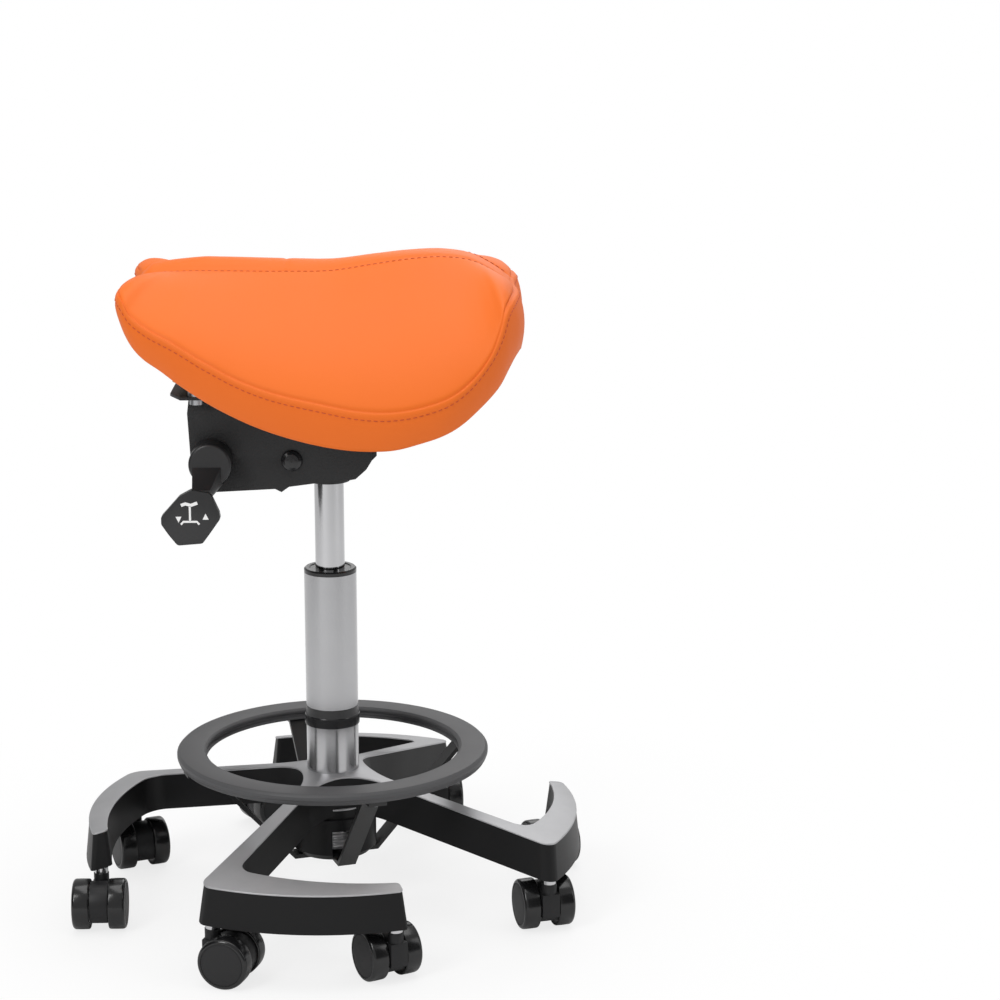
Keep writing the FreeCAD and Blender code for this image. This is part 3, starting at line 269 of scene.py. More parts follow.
# finishes
def leatherette():
    finish = Finish("orange_leatherette")
    at = finish.where()
    cells = finish.node("ShaderNodeTexVoronoi", {"feature": "SMOOTH_F1"},
                        {"Vector": at, "Scale": 950, "Smoothness": 0.7})
    folds = finish.noise(420, 3, 0.55, at)
    broad = finish.noise(7, 2, 0.5, at)
    grain = cells * 0.7 + folds * 0.5
    tone = finish.mix(broad, linear(226, 104, 22), linear(234, 114, 29))
    creased = finish.mix(finish.ramp(cells, (0.0, 0.0), (0.5, 1.0)) * 0.12, linear(206, 76, 18), tone)
    finish.set(Base_Color=finish.mix(0.88, creased, tone), Roughness=0.47 + broad * 0.08 + cells * 0.08,
               Normal=finish.bump(grain, 0.35, 0.00012))
    finish.set(Specular_IOR_Level=0.3)
    return finish.material


def castTop():
    # satin metal, with the faint cloudy marks that a polishing wheel leaves
    finish = Finish("polished_casting")
    at = finish.where()
    clouds = finish.noise(38, 4, 0.6, at)
    streaks = finish.noise(300, 2, 0.5, finish.node("ShaderNodeVectorMath", {"operation": "MULTIPLY"},
                                                    {0: at, 1: (1, 0.06, 1)}))
    finish.set(Base_Color=finish.mix(clouds, (0.4, 0.4, 0.41, 1), (0.5, 0.5, 0.51, 1)),
               Roughness=0.46 + clouds * 0.08, Normal=finish.bump(streaks, 0.25, 0.00005))
    finish.set(Metallic=0.92)
    return finish.material


def turnedMetal(name, dark, light, roughness, rings=2600, depth=0.00001):
    # drawn or ground tube, with faint rings around it
    finish = Finish(name)
    at = finish.where()
    ring = finish.noise(1, 2, 0.6, finish.node("ShaderNodeVectorMath", {"operation": "MULTIPLY"},
                                               {0: at, 1: (4, 4, rings)}))
    cloud = finish.noise(24, 2, 0.5, at)
    finish.set(Base_Color=finish.mix(cloud, dark, light),
               Roughness=roughness * 0.85 + ring * (0.3 * roughness),
               Normal=finish.bump(ring, 0.3, depth))
    finish.set(Metallic=1.0)
    return finish.material


def powderCoat(name, colour, depth=0.00022, scale=760, roughness=0.5):
    finish = Finish(name)
    at = finish.where()
    lumps = finish.node("ShaderNodeTexVoronoi", {"feature": "SMOOTH_F1"}, {"Vector": at, "Scale": scale,
                                                                          "Smoothness": 0.6})
    fine = finish.noise(scale * 2.2, 2, 0.5, at)
    lighter = tuple(part * 1.9 for part in colour[:3]) + (1,)
    finish.set(Base_Color=finish.mix(fine, colour, lighter), Roughness=roughness + lumps * 0.12,
               Normal=finish.bump(lumps + fine * 0.4, 0.75, depth))
    return finish.material


def plywood():
    finish = Finish("birch_plywood")
    at = finish.where()
    stretched = finish.node("ShaderNodeVectorMath", {"operation": "MULTIPLY"}, {0: at, 1: (9, 70, 40)})
    rings = finish.noise(1.6, 5, 0.62, stretched)
    layers = finish.node("ShaderNodeTexWave", {"bands_direction": "Z"}, {"Vector": at, "Scale": 120,
                                                                       "Distortion": 0.6, "Detail": 1})
    edge = finish.mix(layers, linear(150, 108, 66), linear(196, 156, 104))
    face = finish.mix(rings, linear(170, 126, 78), linear(206, 168, 118))
    up = finish.node("ShaderNodeSeparateXYZ", {}, {0: finish.node("ShaderNodeTexCoord", out="Normal")}, out=2)
    flat = finish.node("ShaderNodeMath", {"operation": "ABSOLUTE"}, {0: up})
    finish.set(Base_Color=finish.mix(flat, edge, face), Roughness=0.6 + rings * 0.15,
               Normal=finish.bump(rings, 0.3, 0.0002))
    return finish.material


def dustCloth():
    # black spun cloth under the seat
    finish = Finish("black_dust_cloth")
    fibres = finish.noise(1500, 4, 0.7)
    dots = finish.node("ShaderNodeTexVoronoi", {"feature": "F1"}, {"Vector": finish.where(), "Scale": 420})
    finish.set(Base_Color=finish.mix(fibres, (0.008, 0.008, 0.008, 1), (0.03, 0.03, 0.032, 1)),
               Roughness=0.85 + fibres * 0.1, Normal=finish.bump(dots + fibres, 0.5, 0.0002))
    return finish.material


orange = leatherette()
thread = satin("orange_thread", linear(196, 74, 22), 0.55, grain=3000, depth=0.0001)
topMetal = castTop()
# the rim of the polished face: smoother metal, and lighter than the face as a painted highlight
polishedRimPaintedHighlight = satin("polished_rim_painted_highlight", (0.86, 0.86, 0.86, 1), 0.22, metallic=1.0, depth=0.00002)
paintBlack = satin("satin_black_paint", (0.0095, 0.0095, 0.01, 1), 0.44, grain=700, depth=0.00008, spread=0.2,
                   specular=0.2)
barBlack = satin("bar_black", (0.014, 0.014, 0.0145, 1), 0.4, grain=1100, depth=0.00005, spread=0.2)
ringBlack = satin("ring_plastic", (0.07, 0.07, 0.073, 1), 0.5, grain=1300, depth=0.00007, spread=0.1)
# lighter grey and glossier on the rounded edges of the foot ring: a painted highlight
ringEdgePaintedHighlight = satin("ring_edge", (0.2, 0.2, 0.205, 1), 0.34, grain=1300, depth=0.00003)
wheelTread = satin("wheel_tread", (0.0085, 0.0085, 0.009, 1), 0.2, grain=500, depth=0.00003, spread=0.2)
wheelDisc = satin("wheel_disc", (0.018, 0.018, 0.019, 1), 0.5, grain=1400, depth=0.00006, specular=0.32)
hoodPlastic = satin("hood_plastic", (0.012, 0.012, 0.013, 1), 0.46, grain=1300, depth=0.00006, specular=0.32)
capPlastic = satin("cap_plastic", (0.012, 0.012, 0.013, 1), 0.2, grain=1300, depth=0.00004)
leverPlastic = satin("lever_plastic", (0.017, 0.017, 0.018, 1), 0.36, grain=1700, depth=0.00009)
powder = powderCoat("black_powder_coat", (0.0055, 0.0055, 0.006, 1), depth=0.0004, scale=620)
# light grey and half metal: a painted highlight, so that the chrome collar rings show bright in the dark cup
collarRingPaintedHighlight = satin("collar_ring_painted_highlight", (0.85, 0.85, 0.86, 1), 0.2, metallic=0.4, depth=0.00002)
chrome = turnedMetal("chrome", (0.48, 0.48, 0.49, 1), (0.56, 0.56, 0.57, 1), 0.08)
tubeMetal = turnedMetal("satin_tube", (0.42, 0.42, 0.43, 1), (0.46, 0.46, 0.47, 1), 0.23, rings=1800,
                        depth=0.000003)
zinc = satin("zinc", (0.52, 0.53, 0.55, 1), 0.33, metallic=1.0, grain=500, depth=0.00006)
steel = satin("dark_steel", (0.2, 0.2, 0.21, 1), 0.35, metallic=1.0, grain=600, depth=0.00006)
board = plywood()
cloth = dustCloth()
whitePrint = satin("white_print", linear(240, 240, 240), 0.5, grain=1500, depth=0.00001, spread=0.03)
print("finishes made")

nodeFinish = {
    "base_casting": paintBlack, "castor_stems": chrome, "hub_cup": paintBlack, "foot_ring": ringBlack,
    "foot_strut": barBlack, "ring_screws": zinc, "lift_outer_tube": tubeMetal, "column_band": capPlastic,
    "guide_bush": capPlastic, "gas_cylinder": chrome, "piston_rod": chrome, "thrust_bearing": steel,
    "base_clip": steel, "valve_button": zinc, "inner_bracket": powder, "tilt_housing": powder,
    "pivot_bolt": capPlastic, "tilt_clamp_bolt": zinc, "tilt_lever": leverPlastic,
    "height_lever": barBlack, "seat_plate": powder, "seat_board": board, "seat_bolts": zinc,
    "seat_spacers": zinc, "seat_cushion": orange, "castor": hoodPlastic,
}
for name, node in nodes.items():
    finish = nodeFinish[max((key for key in nodeFinish if name.startswith(key)), key=len)]
    if name.endswith("_axle"):
        finish = steel
    if not node.data.materials:
        node.data.materials.append(finish)
    for index in range(len(node.material_slots)):
        node.material_slots[index].material = finish
bodyOf = {name: node["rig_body"] for name, node in nodes.items()}


# shared making
meshSettings = {"merge": 2e-5, "turnedSharp": 38, "bevelSharp": 32, "faceSharp": 40}


def centreOf(name):
    low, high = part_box(name)
    return (low + high) / 2


def finished(piece, body, slot, *replaced):
    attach(piece, body)
    if replaced:
        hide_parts(*replaced)
    return piece


def lathe(name, profile, middle, axis, materials, count=64):
    # profile: (radius, height, material index of the band that starts there), around an axis
    axis = Vector(axis).normalized()
    first = axis.orthogonal().normalized()
    second = axis.cross(first)
    points, faces, marks = [], [], []
    for radius, height in [ring[:2] for ring in profile]:
        for step in range(count):
            angle = 2 * math.pi * step / count
            points.append(Vector(middle) + axis * height
                          + (first * math.cos(angle) + second * math.sin(angle)) * max(radius, 1e-5))
    for row in range(len(profile) - 1):
        for step in range(count):
            after = (step + 1) % count
            faces.append((row * count + step, row * count + after, (row + 1) * count + after,
                          (row + 1) * count + step))
            marks.append(profile[row][2])
    piece = meshPiece(name, points, faces)
    for material in materials:
        piece.data.materials.append(material)
    piece.data.polygons.foreach_set("material_index", marks)
    tidyMesh(piece)
    piece.data.set_sharp_from_angle(angle=math.radians(meshSettings["turnedSharp"]))
    return piece


def tidyMesh(piece):
    work = bmesh.new()
    work.from_mesh(piece.data)
    bmesh.ops.remove_doubles(work, verts=work.verts, dist=meshSettings["merge"])
    bmesh.ops.recalc_face_normals(work, faces=work.faces)
    work.to_mesh(piece.data)
    work.free()
    piece.data.shade_smooth()


def roundedCopy(name, width, materials, slot, segments=2, angle=35, edgeMark=0):
    # a copy of a node with its edges rounded, which stands for the node
    work = bmesh.new()
    work.from_mesh(nodes[name].data)
    bmesh.ops.remove_doubles(work, verts=work.verts, dist=1e-6)
    bmesh.ops.dissolve_limit(work, angle_limit=math.radians(0.6), verts=work.verts, edges=work.edges)
    edges = [edge for edge in work.edges
             if edge.is_manifold and edge.calc_face_angle(0) > math.radians(angle)]
    bmesh.ops.bevel(work, geom=edges, offset=width, segments=segments, profile=0.5, affect="EDGES",
                    clamp_overlap=True, material=edgeMark, harden_normals=False)
    bmesh.ops.triangulate(work, faces=[face for face in work.faces if len(face.verts) > 4])
    mesh = bpy.data.meshes.new(name + "_rounded")
    work.to_mesh(mesh)
    work.free()
    mesh.materials.clear()
    for material in materials:
        mesh.materials.append(material)
    mesh.shade_smooth()
    mesh.set_sharp_from_angle(angle=math.radians(meshSettings["bevelSharp"]))
    piece = bpy.data.objects.new(name + "_rounded", mesh)
    bpy.context.scene.collection.objects.link(piece)
    return finished(piece, bodyOf[name], slot, name)


# base: the polished face of the casting, a thin rounded plate on the painted body; its rim is smoother metal,
# made lighter than the face as a painted highlight
castingSettings = {"rise": 0.45 * mm, "lip": 0.55 * mm, "depth": 1.3 * mm, "bore": 25.05 * mm,
                   "lowest": 30 * mm, "level": 0.9}


def castingFace():
    work = bmesh.new()
    work.from_mesh(nodes["base_casting"].data)
    bmesh.ops.remove_doubles(work, verts=work.verts, dist=1e-6)
    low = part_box("base_casting")[0].z
    away = [face for face in work.faces
            if face.normal.z < castingSettings["level"]
            or face.calc_center_median().z < low + castingSettings["lowest"]
            or face.calc_center_median().xy.length < castingSettings["bore"]]
    bmesh.ops.delete(work, geom=away, context="FACES")
    rims = [edge for edge in work.edges if edge.is_boundary]
    ends = {vert for edge in rims for vert in edge.verts}
    outward = {vert: Vector((0, 0, 0)) for vert in ends}
    for edge in rims:
        face = edge.link_faces[0]
        along = (edge.verts[1].co - edge.verts[0].co).normalized()
        out = along.cross(face.normal)
        if out.dot(face.calc_center_median() - edge.verts[0].co) > 0:
            out = -out
        for vert in edge.verts:
            outward[vert] += out
    for vert in work.verts:
        vert.co.z += castingSettings["rise"]
    lip, depth, rise = castingSettings["lip"], castingSettings["depth"], castingSettings["rise"]
    steps = [(0.55 * lip, -0.12 * rise), (0.9 * lip, -0.6 * rise), (lip, -rise), (lip, -depth),
             (0.1 * lip, -depth - 0.1 * mm)]
    current = {vert: vert for vert in ends}
    base = {vert: (vert.co.copy(), outward[vert].normalized()) for vert in ends}
    # the rim rows take the second material, the lighter metal of the painted highlight
    for spread, drop in steps:
        fresh = {vert: work.verts.new(base[vert][0] + base[vert][1] * spread + Vector((0, 0, drop)))
                 for vert in ends}
        for edge in rims:
            one, two = edge.verts
            face = work.faces.new((current[one], current[two], fresh[two], fresh[one]))
            face.material_index = 1
        current = fresh
    bmesh.ops.recalc_face_normals(work, faces=work.faces)
    mesh = bpy.data.meshes.new("casting_polished_face")
    work.to_mesh(mesh)
    work.free()
    mesh.materials.clear()
    mesh.materials.append(topMetal)
    mesh.materials.append(polishedRimPaintedHighlight)
    mesh.shade_smooth()
    mesh.set_sharp_from_angle(angle=math.radians(meshSettings["faceSharp"]))
    piece = bpy.data.objects.new("casting_polished_face", mesh)
    bpy.context.scene.collection.objects.link(piece)
    return finished(piece, "base", "casting")


castingFace()
# the bevelled edges of the foot ring take the lighter grey, a painted highlight
roundedCopy("foot_ring", 0.8 * mm, (ringBlack, ringEdgePaintedHighlight), "grey_plastic", edgeMark=1)
print("casting made")


# rings round the foot of the outer tube, seen through the window of the cup; their light grey half-metal
# finish is a painted highlight
collarSettings = {"count": 4, "low": 56 * mm, "pitch": 5.4 * mm, "reach": 26.6 * mm, "root": 25.1 * mm}


def collarRings():
    low, pitch = collarSettings["low"], collarSettings["pitch"]
    reach, root = collarSettings["reach"], collarSettings["root"]
    profile = [(root, low, 0)]
    for ring in range(collarSettings["count"]):
        for step in range(7):
            share = step / 6
            profile.append((root + (reach - root) * math.sin(math.pi * share),
                            low + pitch * (ring + 0.1 + 0.8 * share), 0))
    profile.append((root, low + pitch * collarSettings["count"], 0))
    return finished(lathe("collar_rings", profile, (0, 0, 0), (0, 0, 1), (collarRingPaintedHighlight,)), "base", "chrome")


collarRings()


# castors
wheelSettings = {"radius": 24 * mm, "round": 3.4 * mm, "width": 16.5 * mm, "groove": 0.5 * mm}


def castorWheel(name, outward):
    # tread with a soft shoulder, and a flat outer disc set in a groove
    radius, soft, width = wheelSettings["radius"], wheelSettings["round"], wheelSettings["width"]
    groove = wheelSettings["groove"]
    profile = [(3.2 * mm, 0.6 * mm, 0), (17 * mm, 0.6 * mm, 0), (18 * mm, 0.1 * mm, 0),
               (radius - 1.9 * mm, 0.1 * mm, 0)]
    for step in range(5):
        angle = math.pi / 2 * step / 4
        profile.append((radius - 1.6 * mm + 1.5 * mm * math.sin(angle),
                        1.6 * mm - 1.5 * mm * math.cos(angle), 0))
    profile.append((radius, width * 0.45, 0))
    for step in range(7):
        angle = math.pi / 2 * step / 6
        profile.append((radius - soft + (soft - 0.1 * mm) * math.cos(angle),
                        width - soft + (soft - 0.15 * mm) * math.sin(angle), 0))
    rim = radius - soft
    profile += [(rim - 0.3 * mm, width - 0.2 * mm, 1), (rim - 0.5 * mm, width - 0.2 * mm - groove, 1),
                (rim - 0.9 * mm, width - 0.2 * mm - groove, 1), (rim - 1.2 * mm, width - 0.35 * mm, 1),
                (rim - 2.0 * mm, width - 0.2 * mm, 1), (rim * 0.55, width - 0.05 * mm, 1),
                (0, width, 1)]
    middle = centreOf(name) - outward * width / 2
    piece = lathe(name + "_turned", profile, middle, outward, (wheelTread, wheelDisc), 72)
    return finished(piece, bodyOf[name], "wheel", name)


for name in sorted(nodes):
    if name.endswith("_wheel_a"):
        other = name[:-1] + "b"
        outward = (centreOf(name) - centreOf(other)).normalized()
        castorWheel(name, outward)
        castorWheel(other, -outward)
    if name.endswith("_housing") and name.startswith("castor"):
        roundedCopy(name, 1.1 * mm, (hoodPlastic,), "black_plastic", segments=3)
print("castors made")


# seat: sewn cover over moulded foam. Points in millimetres, near side; the far side mirrors it.
seatSettings = {
    "strip": 22, "rows": 150, "across": 12, "joinAt": -36,
    "seamDepth": 1.5, "seamWide": 2.4, "ridgeDepth": 1.3, "ridgeWide": 2.2,
    "stitch": 4.3, "stitchGap": 1.5, "threadHalf": 0.42, "hemFull": 3.2, "rearFull": 4.6,
    "stitchBelow": 8, "stitchBeside": 3, "stitchSink": 0.45, "stitchSpread": 1.6,
    "joinDepth": 0.9, "joinWide": 2.2, "notchFront": 2.5, "notchRear": 1.0,
    "panelRows": [0, 0.9, 1.8, 2.9, 4.2, 6, 8.5, 12], "panelWide": 165, "panelSteps": 20,
    "bandRows": [0, 0.9, 1.8, 2.9, 4.2, 6, 8, 10.5], "bandTall": 35, "bandSteps": 11,
    "panelFull": 0.095, "panelNear": (0.3, 0.8), "panelFar": (0.72, 1.25), "easeOver": 30,
    "crowdAcross": 0.28, "crowdUp": 0.1, "rearFrom": 150, "rearOver": 20, "middleHigh": 560.0,
    "stripFull": [(-172, 1.5), (-160, 6.5), (-110, 9.5), (0, 6.5), (60, 4.2), (110, 2.2), (172, 0.8)],
    "turnedUnder": [(1.2, -1.3), (3.2, -1.7), (5.4, -0.9), (8, 1.5), (14, 6)],
    "clothFront": -128, "clothRear": 108, "clothHalf": 60, "clothLong": 0.75, "clothWide": 0.42,
    "clothRise": 7, "clothRows": 9, "clothGap": 0.4,
    "threadShape": [(0, -0.55, 0.4), (0.12, -0.02, 0.85), (0.35, 0.16, 1), (0.65, 0.16, 1),
                    (0.88, -0.02, 0.85), (1, -0.55, 0.4)], "threadSides": 6, "threadLift": 0.1,
}
ridgeHeights = [(-172, 611.5), (-163, 616.5), (-151, 618.4), (-128, 620), (-94, 620.4), (-31, 620.4),
                (5, 621), (48, 627.5), (80, 632), (110, 633.5), (135, 629.5), (152, 621), (163, 614),
                (172, 607)]
seamLine = [(-172, -22, 611.5), (-179, -42, 612), (-183, -62, 611.5), (-184, -80, 610.5), (-181.5, -97, 609),
            (-177, -107, 604.5), (-171, -113, 595), (-159, -120, 585.5), (-150, -125, 580.5),
            (-132, -133, 572.5), (-119, -137, 565.2), (-107, -141, 558.3), (-94, -145, 551.8),
            (-83, -148, 546), (-52, -156, 534), (2, -166, 522), (37, -171, 516.2), (61, -172, 515.2),
            (94, -169, 519.8), (116, -164, 527), (138, -151, 542.5), (152, -140, 560.5),
            (160, -128, 580), (165, -115, 597), (169.5, -99, 603), (172.5, -80, 605.5), (174.5, -60, 606.5),
            (174, -40, 607), (172, -22, 607)]
hemLine = [(-165, -22, 587), (-173, -42, 587.5), (-179, -62, 588), (-181.5, -80, 588), (-180.5, -94, 585.5),
           (-176, -101, 575.5), (-169, -107, 564), (-157, -114, 553), (-145, -119, 546), (-127, -127, 534),
           (-113, -132, 525.5), (-100, -135.5, 518), (-88, -139, 512), (-76, -142, 506.5), (-47, -149, 495.5),
           (8, -160, 482.8), (40, -163.5, 480), (63, -164, 480.6), (90, -161, 486.5), (108, -158, 492),
           (127, -150, 501.5), (144, -138, 515), (158, -123, 529), (166, -109, 542), (171, -97, 550),
           (175, -80, 553), (177, -60, 552), (178, -40, 549), (177, -22, 546)]


def spline(points, count, shares=None):
    # a smooth line through the points, sampled by its length
    points = np.array(points, float)
    gaps = np.linalg.norm(np.diff(points, axis=0), axis=1)
    at = np.concatenate([[0], np.cumsum(gaps)]) if shares is None else np.array(shares, float)
    slopes = np.gradient(points, at, axis=0)
    want = np.linspace(at[0], at[-1], count)
    index = np.clip(np.searchsorted(at, want, side="right") - 1, 0, len(at) - 2)
    wide = (at[index + 1] - at[index])[:, None]
    s = ((want - at[index])[:, None]) / wide
    return ((2 * s ** 3 - 3 * s ** 2 + 1) * points[index] + (s ** 3 - 2 * s ** 2 + s) * wide * slopes[index]
            + (3 * s ** 2 - 2 * s ** 3) * points[index + 1] + (s ** 3 - s ** 2) * wide * slopes[index + 1])


def rowShares(steps, wide):
    # places across a panel, close together near both ends
    near = np.array(seatSettings["panelRows"]) / wide
    middle = np.linspace(near[-1], 1 - near[-1], steps)
    return np.concatenate([near[:-1], middle, (1 - near[:-1])[::-1]])


def gridNormals(grid):
    along = np.gradient(grid, axis=0)
    over = np.gradient(grid, axis=1)
    normal = np.cross(along, over)
    size = np.linalg.norm(normal, axis=2, keepdims=True)
    return normal / np.maximum(size, 1e-9)


def dent(distance, deep, wide):
    return deep * np.exp(-(distance / wide) ** 2)


def nearSide():
    # the near panel and band as grids of points, first index along the seam
    rows = seatSettings["rows"]
    seam = spline(seamLine, rows + 1)
    seamGaps = np.linalg.norm(np.diff(np.array(seamLine, float), axis=0), axis=1)
    shares = np.concatenate([[0], np.cumsum(seamGaps)])
    hem = spline(hemLine, rows + 1, shares)
    moves = np.abs(np.diff(seam, axis=0))
    steps = (moves[:, 0] + seatSettings["crowdAcross"] * moves[:, 1]
             + seatSettings["crowdUp"] * moves[:, 2])
    along = np.concatenate([[0], np.cumsum(steps)])
    along /= along[-1]
    start, end = ridgeHeights[0][0], ridgeHeights[-1][0]
    x = start + along * (end - start)
    heights = spline([(a, 0, b) for a, b in ridgeHeights], 600)
    z = np.interp(x, heights[:, 0], heights[:, 2])
    ridge = np.stack([x, np.full_like(x, -seatSettings["strip"]), z], axis=1)
    ridge[0], ridge[-1] = seam[0], seam[-1]
    chord = seam - ridge
    wide = np.linalg.norm(chord, axis=1)
    unit = chord / np.maximum(wide, 1e-6)[:, None]
    up = np.array([0, 0, 1.0]) - unit * unit[:, 2:3]
    up /= np.maximum(np.linalg.norm(up, axis=1), 1e-6)[:, None]
    full = (seatSettings["panelFull"] * wide)[:, None]
    (reachOne, liftOne), (reachTwo, liftTwo) = seatSettings["panelNear"], seatSettings["panelFar"]
    one = ridge + chord * reachOne + up * full * liftOne
    two = ridge + chord * reachTwo + up * full * liftTwo
    shareList = rowShares(seatSettings["panelSteps"], seatSettings["panelWide"])
    panel = []
    for s in shareList:
        panel.append((1 - s) ** 3 * ridge + 3 * s * (1 - s) ** 2 * one
                     + 3 * s ** 2 * (1 - s) * two + s ** 3 * seam)
    panel = np.stack(panel, axis=1)
    normal = gridNormals(panel)
    gapA = np.linalg.norm(panel - ridge[:, None], axis=2)
    gapB = np.linalg.norm(panel - seam[:, None], axis=2)
    ease = np.clip(wide / seatSettings["easeOver"], 0, 1)[:, None]
    sunk = np.maximum(dent(gapA, seatSettings["ridgeDepth"], seatSettings["ridgeWide"]),
                      dent(gapB, seatSettings["seamDepth"], seatSettings["seamWide"])) * ease
    flip = np.sign(normal[rows // 2, 20, 2])
    panel = panel - normal * flip * sunk[:, :, None]
    return ridge, seam, hem, panel, normal * flip


mirror = np.array([1, -1, 1.0])


def seatCover():
    settings = seatSettings
    ridge, seam, hem, panel, normal = nearSide()
    rows, across = settings["rows"], settings["across"]
    places, puffs = zip(*settings["stripFull"])
    fullness = np.interp(ridge[:, 0], places, puffs)
    strip = []
    for step in range(across + 1):
        s = step / across
        line = ridge * (1 - s) + ridge * mirror * s
        line[:, 2] += fullness * 4 * s * (1 - s)
        notch = 4 * s * (1 - s)
        line[0, 0] += settings["notchFront"] * notch
        line[-1, 0] -= settings["notchRear"] * notch
        strip.append(line)
    strip = np.stack(strip, axis=1)
    gap = (np.abs(strip[:, :, 1]) - settings["strip"])
    strip[:, :, 2] -= dent(gap, settings["ridgeDepth"], settings["ridgeWide"])
    strip[:, :, 2] -= dent(strip[:, :, 0] - settings["joinAt"], settings["joinDepth"], settings["joinWide"])
    frontEdge, rearEdge = strip[0], strip[-1]
    loopSeam = np.concatenate([seam, rearEdge[1:-1], (seam * mirror)[::-1], frontEdge[::-1][1:-1]])
    hemRear = np.linspace(hem[-1], hem[-1] * mirror, across + 1)[1:-1]
    hemFront = np.linspace(hem[0] * mirror, hem[0], across + 1)[1:-1]
    loopHem = np.concatenate([hem, hemRear, (hem * mirror)[::-1], hemFront])
    panel[:, 0] = strip[:, 0]
    return ridge, seam, hem, panel, normal, strip, loopSeam, loopHem


def closedBand(loopSeam, loopHem):
    # the loop is padded at both ends, so that the differences at its join are right
    pad = 4
    seam = np.concatenate([loopSeam[-pad:], loopSeam, loopSeam[:pad]])
    hem = np.concatenate([loopHem[-pad:], loopHem, loopHem[:pad]])
    drop = hem - seam
    along = np.gradient(seam, axis=0)
    outward = np.cross(along, drop)
    outward /= np.maximum(np.linalg.norm(outward, axis=1), 1e-9)[:, None]
    middle = seam - np.array([0, 0, seatSettings["middleHigh"]])
    if np.sum(outward[:, :2] * middle[:, :2]) < 0:
        outward = -outward
    return seam[pad:-pad], hem[pad:-pad], outward[pad:-pad]


def buildSeat():
    settings = seatSettings
    ridge, seam, hem, panel, normal, strip, loopSeam, loopHem = seatCover()
    loopSeam, loopHem, outward = closedBand(loopSeam, loopHem)
    drop = loopHem - loopSeam
    tall = np.linalg.norm(drop, axis=1)[:, None]
    near = np.array(settings["bandRows"]) / settings["bandTall"]
    shares = np.concatenate([near[:-1], np.linspace(near[-1], 1, settings["bandSteps"])])
    band = []
    rearward = np.clip((loopSeam[:, :1] - settings["rearFrom"]) / settings["rearOver"], 0, 1)
    for s in shares:
        swell = math.sin(math.pi * (0.1 + 0.8 * s)) ** 0.8
        full = (settings["hemFull"] + settings["rearFull"] * rearward) * swell
        gap = s * tall
        sunk = dent(gap, settings["seamDepth"], settings["seamWide"]) if s else 0
        pulled = dent(gap - settings["stitchBelow"], settings["stitchSink"], settings["stitchSpread"])
        sunk = sunk + pulled * (s > 0)
        band.append(loopSeam + drop * s + outward * ((full if s else 0) - sunk))
    seamRow = loopSeam.copy()
    rows = settings["rows"]
    seamRow[:rows + 1] = panel[:, -1]
    start = rows + 1 + settings["across"] - 1
    seamRow[start:start + rows + 1] = (panel[:, -1] * mirror)[::-1]
    band[0] = seamRow
    inward = -outward * np.array([1, 1, 0.0])
    inward /= np.maximum(np.linalg.norm(inward, axis=1), 1e-9)[:, None]
    lip = band[-1]
    rise = np.array([0, 0, 1.0])
    under = [lip + inward * reach + rise * lift for reach, lift in settings["turnedUnder"]]
    boardTop = (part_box("seat_board")[1].z / mm) + settings["clothGap"]
    clothHalf = settings["clothHalf"]
    target = np.stack([
        np.clip(lip[:, 0] * settings["clothLong"], settings["clothFront"], settings["clothRear"]),
        np.clip(lip[:, 1] * settings["clothWide"], -clothHalf, clothHalf),
        np.full(len(lip), boardTop)], axis=1)
    clothRows = []
    for s in np.linspace(0, 1, settings["clothRows"]):
        line = under[-1] * (1 - s) + target * s
        line[:, 2] += settings["clothRise"] * math.sin(math.pi * s)
        clothRows.append(line)
    points, faces = [], []

    def addGrid(grid, closed, flip):
        base = len(points)
        long, wide = grid.shape[:2]
        points.extend((grid.reshape(-1, 3) * mm).tolist())
        for i in range(long if closed else long - 1):
            for j in range(wide - 1):
                a, b = base + i * wide + j, base + ((i + 1) % long) * wide + j
                face = (a, b, b + 1, a + 1)
                faces.append(face[::-1] if flip else face)

    addGrid(panel, False, False)
    addGrid(panel * mirror, False, True)
    addGrid(strip, False, True)
    addGrid(np.stack(band + under, axis=1), True, False)
    cover = meshPiece("seat_cover", points, faces, orange)
    tidyMesh(cover)
    points.clear()
    faces.clear()
    addGrid(np.stack(clothRows, axis=1), True, False)
    base = len(points)
    points.extend(((clothRows[-1].mean(0) + np.array([0, 0, 0.1])) * mm)[None].tolist())
    count, wide = len(loopSeam), len(clothRows)
    for i in range(count):
        faces.append((i * wide + wide - 1, ((i + 1) % count) * wide + wide - 1, base))
    lining = meshPiece("seat_lining", points, faces, cloth)
    tidyMesh(lining)
    finished(cover, "saddle", "leatherette", "seat_cushion")
    finished(lining, "saddle", "leatherette")
    return panel, normal, strip, np.stack(band, axis=1), outward


panel, panelNormal, strip, band, bandOut = buildSeat()
print("seat cover made")


# stitching
def resample(line, normals, gap):
    # even places along a line, with their normals
    steps = np.linalg.norm(np.diff(line, axis=0), axis=1)
    at = np.concatenate([[0], np.cumsum(steps)])
    count = max(2, int(at[-1] / gap) * 2 + 1)
    want = np.linspace(0, at[-1], count)
    place = np.stack([np.interp(want, at, line[:, k]) for k in range(3)], axis=1)
    turn = np.stack([np.interp(want, at, normals[:, k]) for k in range(3)], axis=1)
    return place, turn / np.linalg.norm(turn, axis=1, keepdims=True)


